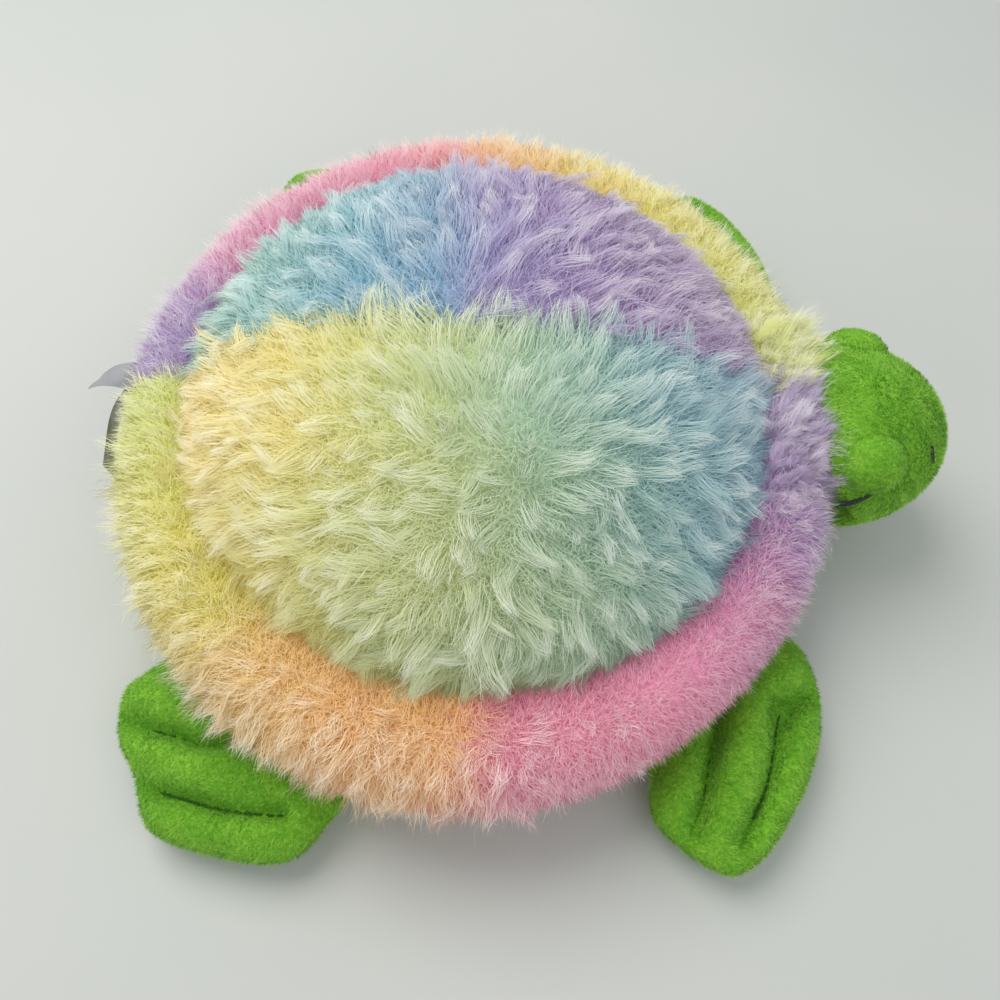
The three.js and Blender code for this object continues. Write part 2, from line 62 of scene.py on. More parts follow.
camera_back = Vector((
    math.sin(camera_swing) * math.cos(camera_rise),
    -math.cos(camera_swing) * math.cos(camera_rise),
    math.sin(camera_rise),
))
camera = bpy.data.objects.new("camera", bpy.data.cameras.new("camera"))
camera.data.lens = camera_lens_mm
camera.data.sensor_width = camera_film_mm
camera_turn = camera_back.to_track_quat("Z", "Y").to_matrix().to_4x4()
camera.matrix_world = (
    Matrix.Translation(camera_place) @ camera_turn @ Matrix.Rotation(camera_roll, 4, "Z")
)
bpy.context.collection.objects.link(camera)
bpy.context.scene.camera = camera

# Stuffing and pellet bag
# Loose white polyester fibre fills the shell, ring, neck, head and flippers, and a woven bag of
# pellets lies in the belly. They are the CAD's own solids and don't show on the finished toy.


class Value:
    """A number, colour or vector on its way through a material's nodes."""

    def __init__(self, cloth, socket):
        self.cloth = cloth
        self.socket = socket

    def __add__(self, other):
        return self.cloth.sum("ADD", self, other)

    def __mul__(self, other):
        return self.cloth.sum("MULTIPLY", self, other)

    __radd__ = __add__
    __rmul__ = __mul__


class Cloth:
    """One fabric's material. Its nodes are added one by one and end in the shader."""

    def __init__(self, name, **shader):
        self.material = bpy.data.materials.new(name)
        self.material.use_nodes = True
        self.tree = self.material.node_tree
        self.shader = self.tree.nodes["Principled BSDF"]
        self.put(self.shader, shader)

    def put(self, node, sockets):
        for key, value in sockets.items():
            name = key.replace("_", " ") if isinstance(key, str) else key
            if isinstance(value, Value):
                self.tree.links.new(value.socket, node.inputs[name])
            else:
                node.inputs[name].default_value = value

    def node(self, kind, settings=None, sockets=None, out=0):
        node = self.tree.nodes.new("ShaderNode" + kind)
        for key, value in (settings or {}).items():
            if key == "stops":
                ramp = node.color_ramp
                while len(ramp.elements) < len(value):
                    ramp.elements.new(1)
                for element, (place, colour) in zip(ramp.elements, value):
                    element.position = place
                    element.color = (*colour, 1)
            else:
                setattr(node, key, value)
        self.put(node, sockets or {})
        return Value(self, node.outputs[out])

    def sum(self, operation, first, second):
        return self.node("Math", {"operation": operation}, {0: first, 1: second})

    def mix(self, share, first, second):
        blend = {"data_type": "RGBA"}
        return self.node("Mix", blend, {"Factor": share, 6: first, 7: second}, out=2)

    def grain(self, scale, detail=3, roughness=0.5, stretch=(1, 1, 1)):
        place = self.node("TexCoord", out=3)
        wide = self.node("Mapping", {"vector_type": "POINT"}, {"Vector": place, "Scale": stretch})
        sockets = {"Vector": wide, "Scale": scale, "Detail": detail, "Roughness": roughness}
        return self.node("TexNoise", None, sockets)

    def waves(self, direction, scale):
        place = self.node("TexCoord", out=3)
        return self.node("TexWave", {"bands_direction": direction}, {"Vector": place, "Scale": scale})

    def ramp(self, share, *stops):
        return self.node("ValToRGB", {"stops": stops}, {0: share})

    def bump(self, height, depth):
        return self.node("Bump", None, {"Height": height, "Distance": depth, "Strength": 1})

    def wear(self, *objects):
        for piece in objects:
            piece.data.materials.clear()
            piece.data.materials.append(self.material)


def paint(*channels):
    """A colour given in screen values from 0 to 255, as the shader takes it."""
    return tuple(
        (c / 255) / 12.92 if c <= 10 else ((c / 255 + 0.055) / 1.055) ** 2.4 for c in channels
    )


stuffing = Cloth("stuffing_fibre", Roughness=0.95)
tufts = stuffing.grain(260, detail=6, stretch=(1, 1, 2.5))
stuffing.put(stuffing.shader, {
    "Base Color": stuffing.ramp(tufts, (0.3, paint(222, 220, 212)), (0.7, paint(248, 247, 243))),
    "Normal": stuffing.bump(tufts, 0.003),
})
pellet_cloth = Cloth("pellet_cloth", Roughness=0.85)
weave_pitch = 0.0007
weave = pellet_cloth.waves("X", 0.31 / weave_pitch) * pellet_cloth.waves("Y", 0.31 / weave_pitch)
pellet_cloth.put(pellet_cloth.shader, {
    "Base Color": pellet_cloth.ramp(weave, (0, paint(196, 192, 180)), (1, paint(232, 230, 221))),
    "Normal": pellet_cloth.bump(weave, 0.0003),
})
for name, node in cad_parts.items():
    if name.endswith("_filling"):
        stuffing.wear(node)
pellet_cloth.wear(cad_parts["pellet_bag"])

# Dome
# Two panels of long-pile plush, dyed in soft bands, are sewn along the spine and stuffed. The pile
# leans out from the top of the toy in wavy locks and hides the seam.
MM = 0.001
dome_low, dome_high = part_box("shell_panel_right")
dome_half_length = (dome_high.x - dome_low.x) / 2 + 2 * MM
dome_half_width = -dome_low.y + 1 * MM
dome_base = 53 * MM
dome_rise = dome_high.z - dome_base
pile_depth = 8 * MM
backing_depth = 4.5 * MM
spine_seam_depth = 3 * MM
spine_seam_width = 5 * MM
strand_girth = 0.28 * MM
lock_curl = 3 * MM
lock_wave = 1.6 * MM
fluff_length = 9 * MM
fluff_girth = 0.34 * MM
fluff_crimp = 0.6 * MM
dome_pile_mm = 20.5
dome_pile_drift_mm = 2
dome_crimp = 0.5 * MM
dome_hold = 0.75
# The bands waver and lie a little aslant, and more so by the head, in shares per metre of width
band_waver = 0.03
band_slant = 0.1
head_band_slant = 1.8
head_band_shift = 0.07


def new_piece(name, points, faces):
    mesh = bpy.data.meshes.new(name)
    mesh.from_pydata([tuple(p) for p in points], [], faces)
    mesh.validate()
    piece = bpy.data.objects.new(name, mesh)
    bpy.context.collection.objects.link(piece)
    mesh.shade_smooth()
    return piece


def grid_faces(rows, columns, round_rows=False, round_columns=False):
    """Faces over a grid of points given row by row. A round way joins its last to its first."""
    faces = []
    for i in range(rows if round_rows else rows - 1):
        here, above = i * columns, (i + 1) % rows * columns
        for j in range(columns if round_columns else columns - 1):
            k = (j + 1) % columns
            faces.append((here + j, here + k, above + k, above + j))
    return faces


def unit(v):
    return v / np.maximum(np.linalg.norm(v, axis=-1, keepdims=True), 1e-12)


def drift(points, scale, seed):
    """Smooth noise from -1 to 1 at each point: a few waves that cross at odd angles."""
    rng = np.random.default_rng(seed)
    total = np.zeros(len(points))
    for wave in range(7):
        direction = unit(rng.normal(size=3))
        pitch = scale * rng.uniform(0.6, 1.5)
        total += np.sin(points @ direction * (2 * math.pi / pitch) + rng.uniform(0, 2 * math.pi))
    return total / 3.2


def even_spread(count):
    """Evenly scattered pairs from 0 to 1. The first few of them are evenly scattered too."""
    steps = np.arange(1, count + 1)
    golden = 1.32471795724474602596
    return (0.5 + steps / golden) % 1, (0.5 + steps / golden ** 2) % 1


def nearest_lock(roots, lock_count):
    tree = kdtree.KDTree(lock_count)
    for i in range(lock_count):
        tree.insert(roots[i], i)
    tree.balance()
    return np.array([tree.find(root)[1] for root in roots])


def strands(name, path, outward, girth, tone, reach, spread=0.25):
    """Tapered ribbons along each path, facing out from the backing, as one mesh. The UV map holds
    each strand's tone across and its share of the way to the tip upwards."""
    count, stops = path.shape[:2]
    pairs = stops - 1
    size = 2 * pairs + 1
    tangent = unit(np.gradient(path, axis=1))
    side = unit(np.cross(tangent, outward[:, None, :]))
    roll = np.random.default_rng(count).uniform(-0.5, 0.5, count)[:, None, None]
    side = side * np.cos(roll) + np.cross(tangent, side) * np.sin(roll)
    half = girth[:, :pairs, None] / 2
    near, edge = path[:, :pairs], side[:, :pairs]
    body = np.stack([near - edge * half, near + edge * half], 2).reshape(count, 2 * pairs, 3)
    vertices = np.concatenate([body, path[:, pairs:]], 1)
    pattern = []
    for k in range(0, 2 * pairs - 2, 2):
        pattern += [[k, k + 1, k + 3], [k, k + 3, k + 2]]
    pattern.append([size - 3, size - 2, size - 1])
    faces = (np.array(pattern)[None] + (np.arange(count) * size)[:, None, None]).reshape(-1, 3)

    # A ribbon is lit as a round strand on a soft bed: its edges turn away, its face leans outwards
    soft = unit(unit(np.cross(side, tangent)) * 0.35 + outward[:, None, :] * 0.9)
    edge = edge * spread
    normals = np.stack([soft[:, :pairs] - edge, soft[:, :pairs] + edge], 2)
    normals = unit(np.concatenate([normals.reshape(count, 2 * pairs, 3), soft[:, pairs:]], 1))

    mesh = bpy.data.meshes.new(name)
    mesh.vertices.add(count * size)
    mesh.vertices.foreach_set("co", vertices.reshape(-1).astype(np.float32))
    mesh.loops.add(len(faces) * 3)
    mesh.loops.foreach_set("vertex_index", faces.reshape(-1).astype(np.int32))
    mesh.polygons.add(len(faces))
    mesh.polygons.foreach_set("loop_start", np.arange(0, len(faces) * 3, 3, dtype=np.int32))
    mesh.update(calc_edges=True)
    sliver = 0.004
    rise = np.append(np.repeat(np.linspace(0, 1, stops)[:pairs], 2), 1)
    offset = np.append(np.tile([0, sliver], pairs), 0)
    u = tone[:, None] + offset[None]
    v = rise[None] * reach[:, None] * 0.96 + 0.02
    chart = mesh.uv_layers.new(name="OFBake")
    corner = np.stack([u, v], 2).reshape(-1, 2)[faces.reshape(-1)]
    chart.data.foreach_set("uv", corner.reshape(-1).astype(np.float32))
    mesh.shade_smooth()
    mesh.normals_split_custom_set_from_vertices(normals.reshape(-1, 3).tolist())
    piece = bpy.data.objects.new(name, mesh)
    bpy.context.collection.objects.link(piece)
    return piece


def grown(roots, outward, lie, lean, length, stops, start, more):
    """Stations of strands that lean from outward to lie, and lean more the further they reach."""
    points = [roots]
    for near, far in zip(stops[:-1], stops[1:]):
        angle = lean * (start + more * (near + far) / 2)
        step = outward * np.cos(angle)[:, None] + lie * np.sin(angle)[:, None]
        points.append(points[-1] + step * (length * (far - near))[:, None])
    return np.stack(points, 1)


def comb_pile(name, roots, outward, lie, lean, length, band, bright, locks, seed, hold, crimped):
    """Long pile: strands lean from outward to lie, and the share hold of them gathers in curved
    locks. Bright is how far their tips fade."""
    rng = np.random.default_rng(seed)
    count = len(roots)
    stops = np.array([0, 0.28, 0.54, 0.78, 1])
    lie = unit(lie - outward * np.sum(lie * outward, axis=1, keepdims=True))
    across = np.cross(outward, lie)

    # Each lock turns, leans and reaches as one
    home = nearest_lock(roots, locks)
    turn = (rng.normal(0, 0.42, locks)[home] + rng.normal(0, 0.22, count))[:, None]
    lie = unit(lie * np.cos(turn) + across * np.sin(turn))
    lean = lean + rng.normal(0, 0.16, locks)[home] + rng.normal(0, 0.12, count)
    length = length * (1 + rng.normal(0, 0.12, locks)[home]) * rng.uniform(0.75, 1.08, count)
    path = grown(roots, outward, lie, lean, length, stops, 0.45, 0.85)

    # Strands draw together towards their lock's tip, and the rest of them stay loose
    grip = np.where(rng.random(count) < hold, rng.uniform(0.65, 0.95, count), 0.2)
    pull = grip[:, None] * stops[None, :] ** 1.1
    path = path + pull[..., None] * (path[home] - path)
    curl = (rng.normal(0, lock_curl, locks)[home])[:, None] * stops[None, :] ** 2
    phase = rng.uniform(0, 2 * math.pi, locks)[home][:, None]
    curl = curl + lock_wave * np.sin(stops[None, :] * 5.5 + phase) * stops[None, :]
    crimp = rng.normal(0, crimped, (count, len(stops), 3)) * stops[None, :, None]
    path = path + across[:, None, :] * curl[..., None] + crimp
    taper = np.array([1, 1, 0.8, 0.5, 0])
    girth = strand_girth * rng.uniform(0.6, 1.3, count)[:, None] * taper[None, :]
    tone = np.clip(band + rng.normal(0, 0.014, count), 0.01, 0.98)
    pale = bright + rng.normal(0, 0.18, locks)[home] + rng.normal(0, 0.08, count)
    pale = np.clip(pale, 0.15, 1)
    return strands(name, path, outward, girth, tone, pale)


def fluff_pile(name, roots, outward, lie, band, bright, seed):
    """Short crimped strands every way round, which close the gaps between the locks."""
    rng = np.random.default_rng(seed)
    count = len(roots)
    stops = np.array([0, 0.5, 1])
    loose = unit(unit(lie) * 0.5 + rng.normal(0, 0.75, (count, 3)))
    loose = unit(loose - outward * np.sum(loose * outward, axis=1, keepdims=True))
    lean = rng.uniform(0.4, 1.15, count)
    path = grown(roots, outward, loose, lean, np.full(count, fluff_length), stops, 0.5, 0.8)
    path = path + rng.normal(0, fluff_crimp, (count, 3, 3)) * stops[None, :, None]
    girth = fluff_girth * rng.uniform(0.6, 1.3, count)[:, None] * np.array([1, 0.8, 0])[None, :]
    tone = np.clip(band + rng.normal(0, 0.016, count), 0.01, 0.98)
    return strands(name, path, outward, girth, tone, bright * rng.uniform(0.35, 0.8, count))


def pile_dye_and_glow(name, dyes, fade):
    """Dyed pile: the band picks the colour, which is deep at the roots and fades at the tips. The pile
    also glows faintly in that colour, as painted light.
    """
    dyes = [(place, paint(*colour)) for place, *colour in dyes]
    # Painted light: a faint glow in the pile's own colour stands in for light through its fibres.
    dye = Cloth(name, Roughness=0.7, Sheen_Weight=0.2, Sheen_Roughness=0.5, Emission_Strength=0.1)
    chart = dye.node("UVMap", {"uv_map": "OFBake"})
    split = dye.node("SeparateXYZ", None, {0: chart})
    height = Value(dye, split.socket.node.outputs["Y"])
    deep = dye.ramp(split, *[(place, tuple(c ** 1.5 for c in colour)) for place, colour in dyes])
    white = paint(250, 249, 240)
    pale = dye.ramp(split, *[
        (place, tuple(c + (w - c) * fade for c, w in zip(colour, white))) for place, colour in dyes
    ])
    rise = dye.ramp(height, (0.1, (0, 0, 0)), (0.55, (0.4, 0.4, 0.4)), (0.95, (1, 1, 1)))
    colour = dye.mix(rise, deep, pale)
    dye.put(dye.shader, {"Base Color": colour, "Emission Color": colour})
    return dye


# Each dye: how far along the bands it lies, and its colour
dome_dyes = {
    "right": [
        (0.0, 246, 230, 170), (0.14, 242, 230, 160), (0.3, 228, 226, 160), (0.46, 208, 218, 174),
        (0.62, 190, 213, 192), (0.78, 168, 203, 206), (1.0, 158, 193, 210),
    ],
    "left": [
        (0.0, 190, 218, 200), (0.14, 174, 211, 207), (0.32, 158, 201, 213), (0.44, 160, 191, 211),
        (0.52, 182, 173, 209), (0.75, 190, 169, 207), (1.0, 194, 174, 204),
    ],
}
strand_count = 28000
fluff_count = 50000
lock_count = 900
dome_lock_count = 720
fluff_root = 5 * MM
whorl = {"right": np.array([0.018, -0.045, 0]), "left": np.array([-0.01, 0.012, 0])}


def backing_of(name, skin, band, faces, side):
    """The knitted back of a pile, dyed as deep as the strands' roots."""
    backing = new_piece(name, skin, faces if side > 0 else [face[::-1] for face in faces])
    chart = backing.data.uv_layers.new(name="OFBake")
    corners = np.zeros(len(backing.data.loops), np.int32)
    backing.data.loops.foreach_get("vertex_index", corners)
    shade = np.full(len(skin), 0.12) + 0.02 * np.sin(np.arange(len(skin)))
    places = np.stack([np.clip(band, 0.01, 0.98), shade], 1)
    chart.data.foreach_set("uv", places[corners].reshape(-1).astype(np.float32))
    return backing


def dome_surface(around, climb, inset):
    """A point of the dome's skin, drawn in by inset, and the way that it faces there."""
    radii = np.array([dome_half_length, dome_half_width, dome_rise]) - inset
    flat = np.cos(climb)
    way = np.stack([np.cos(around) * flat, np.sin(around) * flat, np.sin(climb)], -1)
    return way * radii + np.array([0, 0, dome_base]), unit(way / radii)


def dome_band(points):
    """How far along the dye bands a place lies, from the rear to the head, 0 to 1. By the head the
    bands lie aslant."""
    lengthwise = points[:, 0] / (2 * dome_half_length) + 0.5
    by_head = np.clip(2.5 * lengthwise - 1, 0, 1)
    slant = band_slant * points[:, 1] + by_head * (head_band_shift + head_band_slant * points[:, 1])
    return lengthwise + slant + band_waver * drift(points, 60 * MM, 11)


def dome_fade_and_painted_shade(climb):
    """How far the pile's tips fade. They fade less where the dome goes down behind the ring, as painted
    shade in the valley there.
    """
    return 0.84 - 0.42 * np.exp(-(np.maximum(climb, 0) / 0.26) ** 2)


for side_name, side in (("right", -1), ("left", 1)):
    # Backing: half the dome, drawn down along the spine seam
    columns = 49
    rows = 25
    around = np.linspace(0, math.pi, columns) * side
    climb = np.linspace(-0.22, math.pi / 2, rows)
    grid_around, grid_climb = np.meshgrid(around, climb)
    skin, facing = dome_surface(grid_around.ravel(), grid_climb.ravel(), backing_depth)
    pinch = np.exp(-(skin[:, 1] / spine_seam_width) ** 2) * spine_seam_depth
    skin = skin - facing * pinch[:, None]
    backing = backing_of(
        f"dome_backing_{side_name}", skin, dome_band(skin), grid_faces(rows, columns), side)

    # Pile
    first, second = even_spread(strand_count)
    table = np.linspace(-0.2, math.pi / 2, 200)
    weight = np.cos(table) * np.sqrt(np.sin(table) ** 2 * 0.25 + np.cos(table) ** 2)
    share = np.cumsum(weight) / weight.sum()
    climb = np.interp(second, share, table)
    around = first * math.pi * side
    roots, outward = dome_surface(around, climb, pile_depth)
    middle = whorl[side_name]
    lie = (roots - middle) * np.array([1, 1, 0])
    distance = np.linalg.norm(lie, axis=1)
    swirl = drift(roots, 60 * MM, 21 + side) * 0.5 + drift(roots, 25 * MM, 31 + side) * 0.35
    turned = np.stack([
        lie[:, 0] * np.cos(swirl) - lie[:, 1] * np.sin(swirl),
        lie[:, 0] * np.sin(swirl) + lie[:, 1] * np.cos(swirl),
        lie[:, 2],
    ], 1)
    lean = np.clip(0.6 + distance / 0.12, 0.6, 1.1) + 0.1 * drift(roots, 30 * MM, 41 + side)
    length = (dome_pile_mm + dome_pile_drift_mm * drift(roots, 35 * MM, 51 + side)) * MM
    pile = comb_pile(
        f"dome_pile_{side_name}", roots, outward, turned, lean, length, dome_band(roots),
        dome_fade_and_painted_shade(climb), dome_lock_count, seed=60 + side, hold=dome_hold, crimped=dome_crimp,
    )
    first, second = even_spread(fluff_count)
    around = first * math.pi * side
    climb = np.interp(second, share, table)
    roots, outward = dome_surface(around, climb, fluff_root)
    fluff = fluff_pile(
        f"dome_fluff_{side_name}", roots, outward, roots - middle, dome_band(roots),
        dome_fade_and_painted_shade(climb), seed=80 + side,
    )
    dye = pile_dye_and_glow(f"dome_pile_dye_{side_name}", dome_dyes[side_name], fade=0.7)
    dye.wear(pile, fluff, backing)
    for piece in (pile, fluff, backing):
        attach(piece, "body")
    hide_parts(f"shell_panel_{side_name}")

# Ring
# Two long strips of the same plush are sewn round the dome and stuffed into a soft ring. Their seams
# are at the neck and at the rear, and the second strip carries the same bands turned half round.
ring_low, ring_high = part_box("rim_strip_right")
ring_half_breadth = 21 * MM
ring_path_x = ring_high.x - ring_half_breadth
ring_path_y = -ring_low.y - ring_half_breadth
ring_height = 44 * MM
ring_half_depth = 19 * MM
neck_seam = 0.058
pile_under = math.radians(-105)
pile_span = math.radians(255)
slim_place, slim_reach = -0.87, 0.42
slim_depth = 2.5 * MM
slim_cut_mm = 6.5
ring_pile_mm = 15.5
ring_pile_drift_mm = 1.5
ring_crimp = 0.9 * MM
ring_hold = 0.35
# The left strip was cut from the same fur, but its bands come a little sooner
left_bands = (0, 0.15, 0.46, 0.61, 1)
right_bands = (0, 0.2, 0.5, 0.73, 1)
ring_dyes = [
    (0.0, 182, 163, 206), (0.13, 194, 164, 206), (0.22, 228, 172, 200), (0.46, 238, 173, 191),
    (0.54, 240, 201, 148), (0.68, 240, 212, 152), (0.78, 234, 226, 140), (1.0, 224, 229, 150),
]


def ring_surface(around, section, inset):
    """A point of the ring's skin, drawn in by inset, and the way that it faces there."""
    path = np.stack([ring_path_x * np.cos(around), ring_path_y * np.sin(around),
                     np.full(around.shape, ring_height)], -1)
    out = unit(np.stack([ring_path_y * np.cos(around), ring_path_x * np.sin(around),
                         np.zeros(around.shape)], -1))
    up = np.array([0, 0, 1])
    breadth, depth = ring_half_breadth - inset, ring_half_depth - inset
    cosine, sine = np.cos(section)[..., None], np.sin(section)[..., None]
    return path + out * breadth * cosine + up * depth * sine, unit(
        out * depth * cosine + up * breadth * sine)


def ring_band(around, side, points):
    """How far along its strip a place lies, from the strip's first seam, 0 to 1."""
    from_head = np.abs(around - neck_seam) / (math.pi - side * neck_seam)
    along = from_head if side < 0 else np.interp(1 - from_head, left_bands, right_bands)
    return along + 0.025 * drift(points, 50 * MM, 12)


def ring_slim(around):
    """The pile is short and pressed flat above the right front flipper."""
    return np.exp(-((around - slim_place) / slim_reach) ** 2)


def ring_fade_and_painted_shade(section):
    """How far its tips fade: most on the outside, and least where it faces the dome, as painted shade
    in the valley between ring and dome.
    """
    painted_shade_by_dome = np.clip((section - math.radians(92)) / math.radians(38), 0, 1)
    return 0.82 + 0.12 * np.clip(np.cos(section), 0, 1) - 0.55 * painted_shade_by_dome


ring_dye_and_glow = pile_dye_and_glow("ring_pile_dye", ring_dyes, fade=0.75)
for side_name, side in (("right", -1), ("left", 1)):
    columns = 65
    rows = 24
    strip = math.pi * side - neck_seam
    around = np.linspace(0, strip, columns) + neck_seam
    section = np.linspace(-math.pi, math.pi, rows, endpoint=False)
    grid_around, grid_section = np.meshgrid(around, section)
    skin, facing = ring_surface(grid_around.ravel(), grid_section.ravel(), backing_depth)
    band = ring_band(grid_around.ravel(), side, skin)
    faces = grid_faces(rows, columns, round_rows=True)
    backing = backing_of(f"ring_backing_{side_name}", skin, band, faces, side)

    first, second = even_spread(strand_count)
    around = first * strip + neck_seam
    section = pile_under + second * pile_span
    slim = ring_slim(around)
    roots, outward = ring_surface(around, section, pile_depth + slim_depth * slim[:, None])
    out = unit(np.stack([roots[:, 0] / ring_path_x ** 2, roots[:, 1] / ring_path_y ** 2,
                         np.zeros(len(roots))], 1))
    along = np.cross(np.array([0, 0, 1]), out)
    swirl = drift(roots, 50 * MM, 22 + side) * 0.5 + drift(roots, 20 * MM, 32 + side) * 0.35
    lie = out - np.array([0, 0, 1]) * 0.25 + along * swirl[:, None]
    lean = 0.8 + 0.15 * drift(roots, 30 * MM, 42 + side) - 0.3 * np.clip(np.cos(section), 0, 1)
    waver = ring_pile_drift_mm * drift(roots, 35 * MM, 52 + side)
    length = (ring_pile_mm + waver - slim_cut_mm * slim) * MM
    pile = comb_pile(
        f"ring_pile_{side_name}", roots, outward, lie, lean, length,
        ring_band(around, side, roots), ring_fade_and_painted_shade(section), 2 * lock_count, seed=70 + side,
        hold=ring_hold, crimped=ring_crimp,
    )
    first, second = even_spread(fluff_count)
    around = first * strip + neck_seam
    section = pile_under + second * pile_span
    slim = ring_slim(around)
    roots, outward = ring_surface(around, section, fluff_root + slim_depth * slim[:, None])
    fluff = fluff_pile(
        f"ring_fluff_{side_name}", roots, outward, outward * np.array([1, 1, 0.2]),
        ring_band(around, side, roots), ring_fade_and_painted_shade(section), seed=90 + side,
    )
    ring_dye_and_glow.wear(pile, fluff, backing)
    # The ring's pile stays in place and is not attached to the body.
    for piece in (pile, fluff):
        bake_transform(piece)
    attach(backing, "body")
    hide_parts(f"rim_strip_{side_name}")

# Behind the hood the ring's pile stands up against it and laps over its rear
fringe_count = strand_count // 2
fringe_half = 0.36
fringe_front = math.radians(62)
fringe_span = math.radians(60)
fringe_top = math.radians(97)
fringe_pile_mm = 24
fringe_drift_mm = 2
fringe_fade = 0.14
fringe_least = 0.35
fringe_hold = 0.4
first, second = even_spread(fringe_count)
around = neck_seam / 2 + (2 * first - 1) * fringe_half
section = fringe_front + second * fringe_span
roots, outward = ring_surface(around, section, fluff_root)
on_right = around < neck_seam
band = np.where(on_right, ring_band(around, -1, roots), ring_band(around, 1, roots))
edge = np.clip((fringe_half - np.abs(around - neck_seam / 2)) / fringe_fade, fringe_least, 1)
lean = 0.5 + 0.25 * (section - fringe_top) + 0.25 * (1 - edge)
length = (fringe_pile_mm + fringe_drift_mm * drift(roots, 18 * MM, 54)) * edge * MM
fringe = comb_pile(
    "ring_pile_by_hood", roots, outward, np.array([1, 0, 0]) + np.zeros((fringe_count, 3)), lean,
    length, band, 0.5 + 0.36 * ring_fade_and_painted_shade(section),
    lock_count // 3, seed=75, hold=fringe_hold, crimped=ring_crimp,
)
ring_dye_and_glow.wear(fringe)
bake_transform(fringe)

# Belly
# A bowl of green velour, flat where the toy sits. Its top edge is sewn under the ring, and the hole
# through which the toy was filled is closed at the rear by hand with one green thread.
velour = Cloth(
    "green_velour", Roughness=0.8, Sheen_Weight=0.3, Sheen_Roughness=0.35,
    Sheen_Tint=(0.7, 1, 0.3, 1),
)
velour_tufts = velour.grain(650, detail=5, roughness=0.7)
velour_brush = velour.grain(60, detail=3)
velour.put(velour.shader, {
    "Base Color": velour.ramp(
        velour_tufts * 0.7 + velour_brush * 0.3,
        (0.36, paint(80, 148, 14)), (0.5, paint(112, 182, 28)), (0.66, paint(154, 212, 60)),
    ),
    "Normal": velour.bump(velour_tufts, 0.0012),
})
# Painted light: the nap glows faintly in its own colour, so that its edges stay bright against the
# light.
nap_dye_and_glow = Cloth(
    "green_nap", Roughness=0.8, Sheen_Weight=0.25, Sheen_Roughness=0.4, Sheen_Tint=(0.7, 1, 0.3, 1),
    Emission_Strength=0.13,
)
nap_chart = nap_dye_and_glow.node("SeparateXYZ", None, {0: nap_dye_and_glow.node("UVMap", {"uv_map": "OFBake"})})
nap_height = Value(nap_dye_and_glow, nap_chart.socket.node.outputs["Y"])
nap_colour = nap_dye_and_glow.mix(
    nap_height,
    nap_dye_and_glow.ramp(nap_chart, (0, paint(54, 116, 6)), (1, paint(106, 174, 22))),
    nap_dye_and_glow.ramp(nap_chart, (0, paint(102, 172, 24)), (1, paint(188, 232, 92))),
)
nap_dye_and_glow.put(nap_dye_and_glow.shader, {"Base Color": nap_colour, "Emission Color": nap_colour})
green_thread = Cloth("green_thread", Roughness=0.7)
green_twist = green_thread.waves("DIAGONAL", 700)
green_thread.put(green_thread.shader, {
    "Base Color": green_thread.ramp(green_twist, (0, paint(30, 74, 12)), (1, paint(54, 108, 26))),
    "Normal": green_thread.bump(green_twist, 0.0002),
})
belly_half_length = 109 * MM
belly_half_width = 122 * MM
belly_top = 25 * MM
belly_floor = 0.2 * MM
nap_girth = 0.34 * MM
nap_root_mm = 0.1
table_gap = 0.1 * MM
belly_wall = [
    (0.0, 0.4), (0.0, 0.78), (0.01, 0.86), (0.05, 0.9), (0.12, 0.94), (0.22, 0.965), (0.34, 0.985),
    (0.5, 0.995), (0.7, 1.0), (0.85, 1.025), (1.0, 1.05), (1.0, 1.02),
]


def ringed_piece(name, rings, first_end=None, last_end=None):
    """A skin over rings of equally many points. An end point closes it, where one is given."""
    columns = len(rings[0])
    points = np.concatenate(rings)
    quads = grid_faces(len(rings), columns, round_columns=True)
    for end, start in ((first_end, 0), (last_end, len(points) - columns)):
        if end is None:
            continue
        tip = len(points)
        points = np.concatenate([points, [end]])
        for j in range(columns):
            edge = (start + j, start + (j + 1) % columns)
            quads.append((tip, *edge) if start else (tip, *edge[::-1]))
    return new_piece(name, points, quads)


